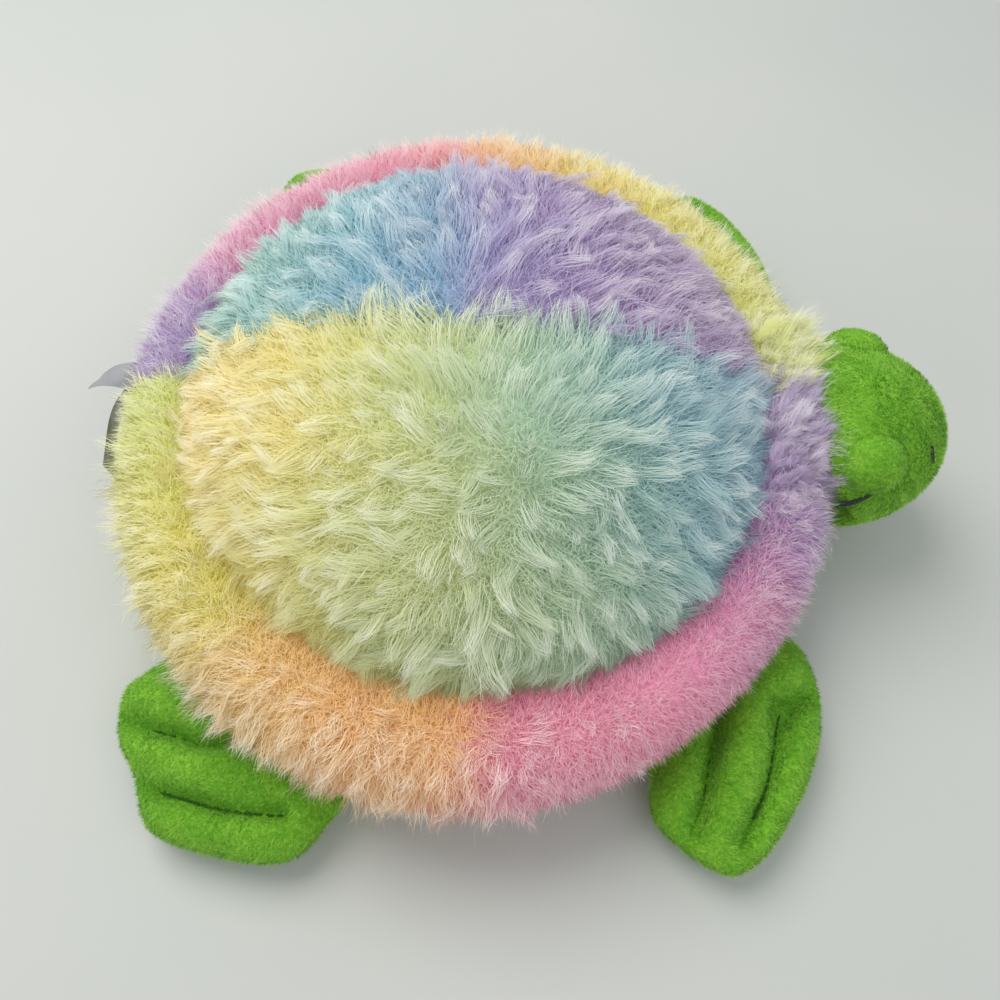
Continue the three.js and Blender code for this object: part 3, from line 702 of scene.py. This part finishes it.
def nap_on(piece, count, length, brushed, seed, light=0.5, painted_shade_at=None):
    """Short pile scattered evenly over a velour piece and brushed one way, in drifting tufts. Light
    is its mean tone, and the last argument says how deep in a groove or crease each root lies, from
    0 to 1; the nap is painted darker there, as shade."""
    rng = np.random.default_rng(seed)
    mesh = piece.data
    mesh.calc_loop_triangles()
    corners = np.zeros(len(mesh.loop_triangles) * 3, np.int32)
    mesh.loop_triangles.foreach_get("vertices", corners)
    places = np.zeros(len(mesh.vertices) * 3)
    mesh.vertices.foreach_get("co", places)
    a, b, c = places.reshape(-1, 3)[corners.reshape(-1, 3)].transpose(1, 0, 2)
    normal = np.cross(b - a, c - a)
    area = np.linalg.norm(normal, axis=1)
    pick = rng.choice(len(area), count, p=area / area.sum())
    first, second = np.sqrt(rng.random(count))[:, None], rng.random(count)[:, None]
    roots = a[pick] * (1 - first) + b[pick] * first * (1 - second) + c[pick] * first * second
    outward = unit(normal[pick])
    lie = np.array(brushed) + rng.normal(0, 0.35, (count, 3))
    lie = lie + 0.5 * np.stack([drift(roots, 16 * MM, seed + k) for k in range(3)], 1)
    lie = unit(lie - outward * np.sum(lie * outward, axis=1, keepdims=True))
    tuft = drift(roots, 5 * MM, seed + 5)
    lean = 0.75 + 0.3 * tuft + rng.normal(0, 0.15, count)
    reach = length * (1 + 0.25 * tuft) * rng.uniform(0.7, 1.2, count)
    tips = roots + (outward * np.cos(lean)[:, None] + lie * np.sin(lean)[:, None]) * reach[:, None]
    tips[:, 2] = np.maximum(tips[:, 2], table_gap)
    path = np.stack([roots - outward * nap_root_mm * MM, tips], 1)
    girth = nap_girth * rng.uniform(0.7, 1.3, count)[:, None] * np.array([1, 0])[None, :]
    tone = light + 0.22 * tuft + rng.normal(0, 0.16, count)
    if painted_shade_at:
        # Painted shade: the nap is darker in grooves and creases.
        tone = tone - 0.6 * painted_shade_at(roots)
    tone = np.clip(tone, 0.02, 0.97)
    nap = strands(f"{piece.name}_nap", path, outward, girth, tone, np.ones(count), spread=0.2)
    nap_dye_and_glow.wear(nap)
    return nap


def tube(path, radius, sides=6):
    """Points and faces of a closed round thread along a path."""
    path = np.asarray(path)
    along = unit(np.gradient(path, axis=0))
    across = unit(np.cross(along, np.array([0.31, 0.43, 0.85])))
    third = np.cross(along, across)
    turns = np.arange(sides) * 2 * math.pi / sides
    circle = (across[:, None] * np.cos(turns)[None, :, None]
              + third[:, None] * np.sin(turns)[None, :, None])
    width = np.full(len(path), radius)
    width[[0, -1]] *= 0.4
    points = (path[:, None] + circle * width[:, None, None]).reshape(-1, 3)
    first_end, last_end = tuple(range(sides))[::-1], tuple(range(len(points) - sides, len(points)))
    return points, [first_end, *grid_faces(len(path), sides, round_columns=True), last_end]


def threads(name, paths, radius, sides=6):
    """Several threads as one piece of stitching."""
    points, faces = [], []
    for path in paths:
        some, quads = tube(path, radius, sides)
        start = sum(len(p) for p in points)
        points.append(some)
        faces += [tuple(start + k for k in quad) for quad in quads]
    return new_piece(name, np.concatenate(points), faces)


nap_density = 2.6 / MM ** 2
nap_length = 1.9 * MM
turns = np.linspace(0, 2 * math.pi, 120, endpoint=False)
rings = [
    np.stack([belly_half_length * spread * np.cos(turns), belly_half_width * spread * np.sin(turns),
              np.full(turns.shape, max(belly_top * height, belly_floor))], 1)
    for height, spread in belly_wall
]
belly = ringed_piece("belly_bowl", rings, first_end=(0, 0, belly_floor))
velour.wear(belly)
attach(belly, "body")
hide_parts("belly_panel")

closing_middle = 15 * MM
closing_turns = 9
closing_pitch = 3.75 * MM
closing_lift_mm = 2.6
closing_stand = 0.9 * MM
closing_thread = 0.45 * MM
closing_path = []
for i in range(closing_turns * 4 + 1):
    y = (i / 4 - closing_turns / 2) * closing_pitch
    wall = belly_half_length * math.sqrt(1 - (y / belly_half_width) ** 2)
    lift = math.sin(i / 4 * math.pi) * closing_lift_mm * MM
    stand = closing_stand * abs(math.cos(i / 4 * math.pi))
    closing_path.append((-wall - stand, y, closing_middle + lift))
closing = threads("closing_thread", [closing_path], closing_thread)
green_thread.wear(closing)
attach(closing, "body")
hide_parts("closing_stitches")

# Neck
# A short velour tube, sewn to the ring's front and inside the hood, carries the head.
neck_height = 44 * MM
neck_stations = [(138, 17), (143, 16), (147, 15.5), (151, 15.5), (155, 16), (160, 17), (165, 18)]
turns = np.linspace(0, 2 * math.pi, 48, endpoint=False)
rings = [
    np.stack([np.full(turns.shape, x * MM), r * MM * np.sin(turns),
              neck_height + r * MM * np.cos(turns)], 1)[::-1]
    for x, r in neck_stations
]
neck = ringed_piece("neck_tube", rings)
velour.wear(neck)
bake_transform(neck)
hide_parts("neck_sleeve")

# Head
# A hood of green velour and a chin panel meet in a seam round the head. The crown slopes down at the
# rear, and the rear falls away above and below the neck, where the head nods over the ring.
head_middle = np.array([0.148, 0, 0.05])
head_radii = np.array([0.045, 0.0385, 0.037])
head_heart = np.array([0.170, 0, 0.044])
head_notch = np.array([0.1555, 0, 0.044])
notch_slope = math.radians(35)
head_crown = np.array([0.1480, 0, 0.0875])
crown_slope = math.radians(42)
head_rear = 0.1355
seam_depth = 1.0 * MM
seam_width = 1.3 * MM
head_nap_area_mm2 = 9000


def head_skin(around, climb):
    """A point of the head's skin, seen from its heart at a turn and a rise."""
    way = np.stack([np.cos(around) * np.cos(climb), np.sin(around) * np.cos(climb), np.sin(climb)], -1)
    p, q = (head_heart - head_middle) / head_radii, way / head_radii
    a, b, c = np.sum(q * q, -1), 2 * np.sum(q * p, -1), np.sum(p * p) - 1
    reaches = [(-b + np.sqrt(b * b - 4 * a * c)) / (2 * a)]
    half = 1 if np.mean(climb) > 0 else -1
    faces = [
        (np.array([math.cos(notch_slope), 0, half * math.sin(notch_slope)]), head_notch),
        (np.array([math.cos(crown_slope), 0, -math.sin(crown_slope)]), head_crown),
        (np.array([1, 0, 0]), np.array([head_rear, 0, 0])),
    ]
    for normal, place in faces:
        toward = -(way @ normal)
        gap = (head_heart - place) @ normal
        reaches.append(np.where(toward > 0.02, gap / np.maximum(toward, 0.02), 1))
    blur = 2.2 * MM
    reach = -blur * np.log(sum(np.exp(-r / blur) for r in reaches))
    height = np.sin(climb) * reach
    reach = reach - seam_depth * np.exp(-(height / seam_width) ** 2)
    return head_heart + way * reach[..., None]


head_around = np.linspace(0, 2 * math.pi, 144, endpoint=False)
head_climb = np.linspace(0, 1, 36) ** 1.25 * math.pi / 2
for name, side, node in (("head_hood", 1, "head_top_panel"), ("head_chin", -1, "head_chin_panel")):
    rings = [head_skin(head_around, np.full(head_around.shape, side * climb))
             for climb in head_climb[:-1]]
    tuck = head_heart + (rings[0] - head_heart) * np.array([0.93, 0.93, 1])
    rings = [tuck] + rings
    pole = head_skin(np.zeros(1), np.array([side * math.pi / 2]))[0]
    if side < 0:
        rings = [ring[::-1] for ring in rings]
    panel = ringed_piece(name, rings, last_end=pole)
    velour.wear(panel)
    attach(panel, "head")
    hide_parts(node)
    count = int(nap_density * head_nap_area_mm2 * MM ** 2)
    nap = nap_on(panel, count, nap_length, (-0.7, 0, -0.5), seed=5)
    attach(nap, "head")

# Eyelids
# Two small stuffed pads of the same velour, sewn on the hood over the eyes.
lid_seat = (154.5 * MM, 30 * MM)
lid_radii = np.array([13.4, 12.2, 9.6]) * MM
lid_sink = 3.4 * MM
# How far the painted shade reaches up from the lids' crease
lid_painted_shade_reach = 2.2 * MM
lid_nap_area_mm2 = 900
lid_nap_length = 1.2 * MM


def head_top_at(x, y):
    across = ((x - head_middle[0]) / head_radii[0]) ** 2 + (y / head_radii[1]) ** 2
    return np.stack([x, y, head_middle[2] + head_radii[2] * np.sqrt(1 - across)], -1)


def head_facing(points):
    return unit((points - head_middle) / head_radii ** 2)


for side_name, side in (("right", -1), ("left", 1)):
    seat = head_top_at(lid_seat[0], side * lid_seat[1])
    facing = head_facing(seat)
    forward = unit(np.array([1, 0, 0]) - facing * facing[0])
    sideways = np.cross(facing, forward)
    rings = []
    turns = np.linspace(0, 2 * math.pi, 48, endpoint=False)
    for climb in np.linspace(-0.45, math.pi / 2, 15)[:-1]:
        flat = math.cos(climb)
        ring = (seat - facing * lid_sink + np.outer(np.cos(turns) * flat * lid_radii[0], forward)
                + np.outer(np.sin(turns) * flat * lid_radii[1], sideways)
                + facing * lid_radii[2] * math.sin(climb))
        rings.append(ring)
    lid = ringed_piece(f"eyelid_pad_{side_name}", rings,
                       last_end=seat + facing * (lid_radii[2] - lid_sink))
    velour.wear(lid)
    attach(lid, "head")
    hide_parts(f"eyelid_{side_name}")
    count = int(nap_density * lid_nap_area_mm2 * MM ** 2)
    # The lids' nap is painted lighter, as light on their raised tops, and darker towards their crease,
    # as painted shade.
    nap = nap_on(
        lid, count, lid_nap_length, (-0.7, 0, -0.3), seed=6, light=0.8,
        painted_shade_at=lambda points: 1.3 * np.exp(-(np.maximum((points - seat) @ facing, 0) / lid_painted_shade_reach)),
    )
    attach(nap, "head")

# Eyes and nostrils
# The closed eyes and the nostrils are satin stitch: short black threads side by side across a curve.
# The eyes are wide at the rear and run out to a point under the front of the lid.
black_thread = Cloth("black_thread", Roughness=0.4, Sheen_Weight=0.2)
black_twist = black_thread.grain(2200, detail=2)
black_thread.put(black_thread.shader, {
    "Base Color": black_thread.ramp(black_twist, (0.3, paint(9, 10, 13)), (0.8, paint(34, 36, 42))),
    "Normal": black_thread.bump(black_twist, 0.0001),
})
eye_points = np.array([
    (144.9, 37.8, 56.6), (147.2, 37.9, 56.7), (149.3, 37.7, 57.4), (151.9, 37.1, 59.2),
    (154.5, 36.4, 60.9), (156.9, 35.0, 63.5),
]) * MM
eye_widths = np.array([3.0, 3.2, 3.0, 2.4, 1.7, 0.9]) * MM
nostril_points = np.array([(177.9, 18.0, 71.4), (179.4, 20.1, 68.1), (180.4, 21.5, 65.3)]) * MM
nostril_widths = np.array([0.9, 1.6, 0.9]) * MM
thread_pitch = 0.42 * MM
thread_half = 0.26 * MM
thread_rise = 0.75 * MM
thread_dip_mm = 0.4


def on_head(points):
    """The nearest place of the head's skin along the line from its middle."""
    way = (points - head_middle) / head_radii
    return head_middle + way / np.linalg.norm(way, axis=-1, keepdims=True) * head_radii


def satin(name, points, widths, side):
    """Threads laid side by side across a curve on the head's skin."""
    points = points * np.array([1, side, 1])
    steps = np.linalg.norm(np.diff(points, axis=0), axis=1)
    mark = np.append(0, np.cumsum(steps))
    stations = np.arange(thread_pitch / 2, mark[-1], thread_pitch)
    middle = np.stack([np.interp(stations, mark, points[:, k]) for k in range(3)], 1)
    middle = on_head(middle)
    width = np.interp(stations, mark, widths)
    facing = head_facing(middle)
    along = unit(np.gradient(middle, axis=0))
    across = unit(np.cross(facing, along) + 0.25 * along)
    paths = []
    for place, half, outward, sideways in zip(middle, width / 2, facing, across):
        paths.append([
            place - sideways * half - outward * thread_dip_mm * MM,
            place - sideways * half * 0.8 + outward * thread_rise * 0.7,
            place + outward * thread_rise,
            place + sideways * half * 0.8 + outward * thread_rise * 0.7,
            place + sideways * half - outward * thread_dip_mm * MM,
        ])
    return threads(name, paths, thread_half, sides=5)


for side_name, side in (("right", -1), ("left", 1)):
    for name, points, widths in (
        ("eye", eye_points, eye_widths), ("nostril", nostril_points, nostril_widths),
    ):
        stitch = satin(f"{name}_satin_{side_name}", points, widths, side)
        black_thread.wear(stitch)
        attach(stitch, "head")
        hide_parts(f"{name}_stitch_{side_name}")

# Flippers
# Each flipper is two velour panels sewn round their edge and stuffed. Two lines of stitching pass
# through it from the root to the tip and draw it in, so that three long toes stand up between them.
hinges = {
    "front": {"place": (0.08232, 0.078918), "outward": (0.793949, 0.607985)},
    "rear": {"place": (-0.060634, 0.100544), "outward": (-0.602528, 0.798098)},
}
flipper_outlines = {
    "front": [
        (0, 25), (0, -26), (20, -31), (40.9, -30), (51.7, -25.7), (63.2, -15.6), (71.8, 0.5),
        (77.4, 22.7), (78.7, 45.7), (73.8, 60.7), (61.1, 65.4), (44.7, 65.4), (35.4, 59.9),
        (28.9, 49.8), (10, 34),
    ],
    "rear": [
        (0, 29), (0, -29), (13, -42), (29.6, -49.5), (39, -50.3), (54, -50.4), (64.4, -43.2),
        (74.9, -26), (82.4, -7.8), (81.6, 2.8), (74, 16), (70.1, 29), (63.1, 38), (55.1, 44),
        (44.5, 43.3), (20, 39),
    ],
}
flipper_middles = {"front": (42, 13.4), "rear": (42.6, 0)}
toe_lines = {
    "front": [
        [(20, -6), (30.5, 6.3), (38.2, 22), (45.3, 37.3), (50.1, 47.7), (53.5, 60)],
        [(54.2, 1.2), (56.6, 7.4), (59.9, 14.7), (65.3, 28.3), (67.4, 38.4), (69.4, 51)],
    ],
    "rear": [
        [(20, -14), (36, -8), (50.2, 2.7), (53.4, 10.3), (60, 25.4), (63, 34)],
        [(49, -37), (55, -29), (61.7, -18.6), (69, -4), (76, 12)],
    ],
}
# The front flipper folds where its outer line of stitching starts
folds = {"front": [[(54.2, 1.2), (55.4, -4.1), (57.4, -8.4), (59.3, -12.8), (61.5, -18)]], "rear": []}
flipper_hinge_height = 12 * MM
flipper_rise = 3 * MM
flipper_thickness = 15.4 * MM
root_thickness = 7.4 * MM
flipper_swell = 58 * MM
toe_depth = {1: 10.5 * MM, -1: 3 * MM}
toe_width = 4.6 * MM
toe_least = 2.6 * MM
toe_thread = 0.4 * MM
toe_stitch_rise = 0.7 * MM
toe_stitch_sink = 0.5 * MM
flipper_bend = 18 * MM
flipper_rest = 1.2 * MM
velour_thickness = 2.4 * MM
flipper_nap_area_mm2 = 11000
# How the velour is blown up: points of the coarse copy, its cloth and how far a point may move
coarse_pitch = 4 * MM
cloth_point_kg = 0.002
stuffing_pressure = 1000
stuffing_frames = 20
seam_hold = 4 * MM
puff = 3 * MM


def smooth_curve(points, count, closed):
    """Points evenly along a smooth curve through a few of them."""
    points = np.array(points, float)
    if closed:
        points = np.concatenate([points[-1:], points, points[:2]])
    else:
        points = np.concatenate([[2 * points[0] - points[1]], points, [2 * points[-1] - points[-2]]])
    a, b, c, d = points[:-3], points[1:-2], points[2:-1], points[3:]
    t = np.linspace(0, 1, 16, endpoint=False)[None, :, None]
    a, b, c, d = (p[:, None] for p in (a, b, c, d))
    curve = 0.5 * (2 * b + (c - a) * t + (2 * a - 5 * b + 4 * c - d) * t ** 2
                   + (3 * b - a - 3 * c + d) * t ** 3)
    curve = np.concatenate([curve.reshape(-1, points.shape[1]), points[-2:-1]])
    mark = np.append(0, np.cumsum(np.linalg.norm(np.diff(curve, axis=0), axis=1)))
    stations = np.linspace(0, mark[-1], count, endpoint=not closed)
    return np.stack([np.interp(stations, mark, curve[:, k]) for k in range(points.shape[1])], 1)


def distance_to(line, points):
    """How far each point lies from a line through many points."""
    start, end = line[:-1], line[1:]
    run = end - start
    share = np.clip(np.sum((points[:, None] - start) * run, -1) / np.sum(run * run, -1), 0, 1)
    return np.linalg.norm(points[:, None] - start - run * share[..., None], axis=-1).min(1)


def flipper_swollen(reach):
    share = np.clip(reach / flipper_swell, 0, 1)
    return share * share * (3 - 2 * share)


def groove_at(plan, lines):
    """How deep in a stitched groove a place of the plan lies, from 0 to 1."""
    near = sum(np.exp(-(distance_to(line, plan) / toe_width) ** 1.4) for line in lines)
    return np.minimum(near, 1)


def flipper_height(plan, fraction, lines, face, inset=0):
    """The height of a flipper's upper or lower skin over places of its plan."""
    swell = flipper_swollen(plan[:, 0])
    half = root_thickness + (flipper_thickness - root_thickness) * swell
    half = half * np.sqrt(np.maximum(1 - fraction ** 2.8, 0))
    drawn = np.minimum(toe_depth[face], np.maximum(half - toe_least, 0))
    half = half - drawn * groove_at(plan, lines) - inset
    return flipper_hinge_height + flipper_rise * swell + face * np.maximum(half, 0)


def stuffed(piece, sewn, cap):
    """Blow a piece up as its stuffing does. Cloth under pressure, simulated on a coarse copy that
    is held where sewn is 1, moves the piece's own points, by no more than the cap."""
    coarsen = piece.modifiers.new("coarsen", "REMESH")
    coarsen.mode = "VOXEL"
    coarsen.voxel_size = coarse_pitch
    graph = bpy.context.evaluated_depsgraph_get()
    copy = bpy.data.objects.new("copy", bpy.data.meshes.new_from_object(piece.evaluated_get(graph)))
    piece.modifiers.remove(coarsen)
    bpy.context.collection.objects.link(copy)
    before = np.array([v.co for v in copy.data.vertices])
    held = copy.vertex_groups.new(name="sewn")
    for i, share in enumerate(sewn(before)):
        held.add([i], float(share), "REPLACE")
    cloth = copy.modifiers.new("cloth", "CLOTH")
    cloth.settings.quality = 6
    cloth.settings.mass = cloth_point_kg
    cloth.settings.use_pressure = True
    cloth.settings.uniform_pressure_force = stuffing_pressure
    cloth.settings.vertex_group_mass = "sewn"
    cloth.settings.effector_weights.gravity = 0
    cloth.collision_settings.use_collision = False
    for frame_number in range(1, stuffing_frames + 1):
        bpy.context.scene.frame_set(frame_number)
    blown = copy.evaluated_get(bpy.context.evaluated_depsgraph_get()).data
    move = np.array([v.co for v in blown.vertices]) - before
    size = np.linalg.norm(move, axis=1, keepdims=True)
    move = move * np.minimum(1, cap / np.maximum(size, 1e-9))
    bpy.data.objects.remove(copy)
    bpy.context.scene.frame_set(1)

    tree = kdtree.KDTree(len(before))
    for i, place in enumerate(before):
        tree.insert(place, i)
    tree.balance()
    for vertex in piece.data.vertices:
        close = tree.find_n(vertex.co, 6)
        weights = np.array([1 / (distance + MM) for _, _, distance in close])
        shift = weights @ move[[i for _, i, _ in close]] / weights.sum()
        vertex.co = vertex.co + Vector(shift)


def flipper_rings(outline, middle, lines, inset):
    """A flipper's skin in its own plan, from the middle of the top over the edge to the bottom."""
    reach = np.linalg.norm(outline - middle, axis=1, keepdims=True)
    outline = middle + (outline - middle) * (1 - inset / reach)
    fractions = np.sin(np.linspace(0, math.pi / 2, 26))[1:]
    rings = []
    for face, some in ((1, fractions), (-1, fractions[-2::-1])):
        for fraction in some:
            drawn = fraction if fraction < 1 else 0.985
            plan = middle + (outline - middle) * drawn
            height = flipper_height(plan, fraction, lines, face, inset)
            rings.append(np.column_stack([plan, height]))
    ends = [np.append(middle, flipper_height(middle[None], 0, lines, face, inset)) for face in (1, -1)]
    return rings, ends


for place_name in ("front", "rear"):
    outline = smooth_curve(flipper_outlines[place_name], 150, closed=True) * MM
    outline[:, 0] = np.maximum(outline[:, 0], 0)
    middle = np.array(flipper_middles[place_name]) * MM
    lines = [smooth_curve(line, 40, closed=False) * MM for line in toe_lines[place_name]]
    grooves = lines + [smooth_curve(line, 20, closed=False) * MM for line in folds[place_name]]
    skin, skin_ends = flipper_rings(outline, middle, grooves, 0)
    core, core_ends = flipper_rings(outline, middle, grooves, velour_thickness)
    for side_name, side in (("right", -1), ("left", 1)):
        hinge = hinges[place_name]
        root = np.array([hinge["place"][0], side * hinge["place"][1], 0])
        outward = np.array([hinge["outward"][0], side * hinge["outward"][1], 0])
        along = np.array([-outward[1] * side, outward[0] * side, 0])

        def to_toy(points):
            points = np.atleast_2d(points)
            return (root + points[:, :1] * outward + points[:, 1:2] * along
                    + points[:, 2:] * np.array([0, 0, 1]))

        def to_plan(points):
            return np.stack([(points - root) @ outward, (points - root) @ along], 1)

        def sewn_at(points):
            plan = to_plan(points)
            rim = np.exp(-(distance_to(outline, plan) / seam_hold) ** 2)
            by_body = np.clip(1.3 - plan[:, 0] / flipper_bend, 0, 1)
            return np.maximum(np.maximum(groove_at(plan, grooves) ** 2, rim), by_body)

        body_name = f"flipper_{place_name}_{side_name}"
        for name, rings, ends, cloth, nodes in (
            ("velour", skin, skin_ends, velour, ("upper", "lower")),
            ("stuffing", core, core_ends, stuffing, ("filling",)),
        ):
            placed = [to_toy(ring)[::-side] for ring in rings]
            cushion = ringed_piece(f"{body_name}_{name}", placed, *[to_toy(end)[0] for end in ends])
            cloth.wear(cushion)
            if name == "velour":
                stuffed(cushion, sewn_at, puff)
                for vertex in cushion.data.vertices:
                    vertex.co.z = max(vertex.co.z, flipper_rest)
            tuple(root + outward * flipper_bend)
            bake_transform(cushion)
            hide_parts(*[f"{body_name}_{node}" for node in nodes])
            if name == "velour":
                count = int(nap_density * flipper_nap_area_mm2 * MM ** 2)
                # Painted shade: the nap is darker along the stitched grooves.
                nap = nap_on(
                    cushion, count, nap_length, outward, seed=7,
                    painted_shade_at=lambda points: groove_at(to_plan(points), grooves),
                )
                tuple(root + outward * flipper_bend)
                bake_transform(nap)
        for i, line in enumerate(lines):
            laid = smooth_curve(line[line[:, 0] > flipper_bend][:-4:4], 73, closed=False)
            height = flipper_height(laid, np.zeros(len(laid)), grooves, 1)
            up_and_down = np.sin(np.arange(len(laid)) * math.pi / 3)
            height = height + toe_stitch_rise * up_and_down - toe_stitch_sink
            stitch = threads(f"{body_name}_toe_thread_{i + 1}",
                             [to_toy(np.column_stack([laid, height]))], toe_thread)
            green_thread.wear(stitch)
            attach(stitch, body_name)
            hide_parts(f"{body_name}_toe_stitch_{i + 1}")

# Label
# A bare strip of white satin is folded in two and sewn at the fold into the ring's rear seam. Its upper
# end stands out through the pile, and the lower end lies down along the ring.
satin_cloth = Cloth("label_satin", Roughness=0.38)
satin_weave = satin_cloth.grain(1500, detail=2, stretch=(1, 6, 1))
# Painted shade: the white satin is coloured mid grey, as it lies in shade among the pile.
satin_cloth.put(satin_cloth.shader, {
    "Base Color": satin_cloth.ramp(
        satin_weave, (0.3, paint(142, 144, 146)), (0.7, paint(162, 164, 166)),
    ),
    "Normal": satin_cloth.bump(satin_weave, 0.0001),
})
label_width = 13 * MM
label_ripple = 0.5 * MM
label_stations = 70
# The strip's middle line from its upper free end through the seam to its lower end, and which way its
# width runs at each place
label_middle = smooth_curve([
    (-162, 3, 50), (-157, 4.8, 51.5), (-151, 6.4, 51.3), (-146.5, 7, 49.4), (-143.8, 6.5, 47),
    (-147, 4, 44.4), (-151, -1, 42.5), (-153.4, -9, 40), (-153.2, -20, 37), (-151, -33, 33.5),
], label_stations, closed=False) * MM
label_across = smooth_curve([
    (1.6, 12.2, -4.2), (2.2, 12.5, -2.5), (3, 12.6, 0), (2, 12.8, 1), (0, 13, 0),
    (0, 12, 4), (-3, 9, 9), (-4, 4, 12), (-4, 3.5, 12), (-4.5, 3.5, 12),
], label_stations, closed=False)
label_across = unit(label_across) * label_width
rows = []
for share in np.linspace(-0.5, 0.5, 11):
    ripple = np.cross(unit(label_across), unit(np.gradient(label_middle, axis=0)))
    wave = label_ripple * np.sin(share * 5 + np.linspace(0, 14, label_stations))
    rows.append(label_middle + label_across * share + ripple * wave[:, None])
label_faces = grid_faces(len(rows), len(label_middle))
label = new_piece("label_strip", np.concatenate(rows), label_faces)
satin_cloth.wear(label)
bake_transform(label)
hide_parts("care_label")

# Table and light
# A plain pale table under soft light from a wide window above and behind the toy.
table_half = 3
floor = new_piece("table_top", [
    (-table_half, -table_half, 0), (table_half, -table_half, 0),
    (table_half, table_half, 0), (-table_half, table_half, 0),
], [(0, 1, 2, 3)])
laminate = Cloth("table_laminate", Roughness=0.6)
mottle = laminate.grain(4, detail=4)
laminate.put(laminate.shader, {
    "Base Color": laminate.ramp(mottle, (0.3, paint(194, 197, 192)), (0.7, paint(200, 202, 196))),
})
laminate.wear(floor)


def window(name, place, width, watts, colour):
    light = bpy.data.objects.new(name, bpy.data.lights.new(name, "AREA"))
    light.data.shape = "DISK"
    light.data.size = width
    light.data.energy = watts
    light.data.color = colour
    light.location = place
    light.rotation_euler = (-Vector(place)).to_track_quat("-Z", "Y").to_euler()
    bpy.context.collection.objects.link(light)


window("window_light", (-0.6, 0.45, 1.3), 1.2, 15.5, (1, 0.99, 0.96))
window("room_light", (0.7, -0.9, 1.2), 1.6, 4.5, (0.97, 0.98, 1))
room = bpy.data.worlds.new("room")
room.use_nodes = True
room.node_tree.nodes["Background"].inputs["Color"].default_value = (0.93, 0.96, 1, 1)
room.node_tree.nodes["Background"].inputs["Strength"].default_value = 0.55
bpy.context.scene.world = room
bpy.context.scene.view_settings.view_transform = "Standard"
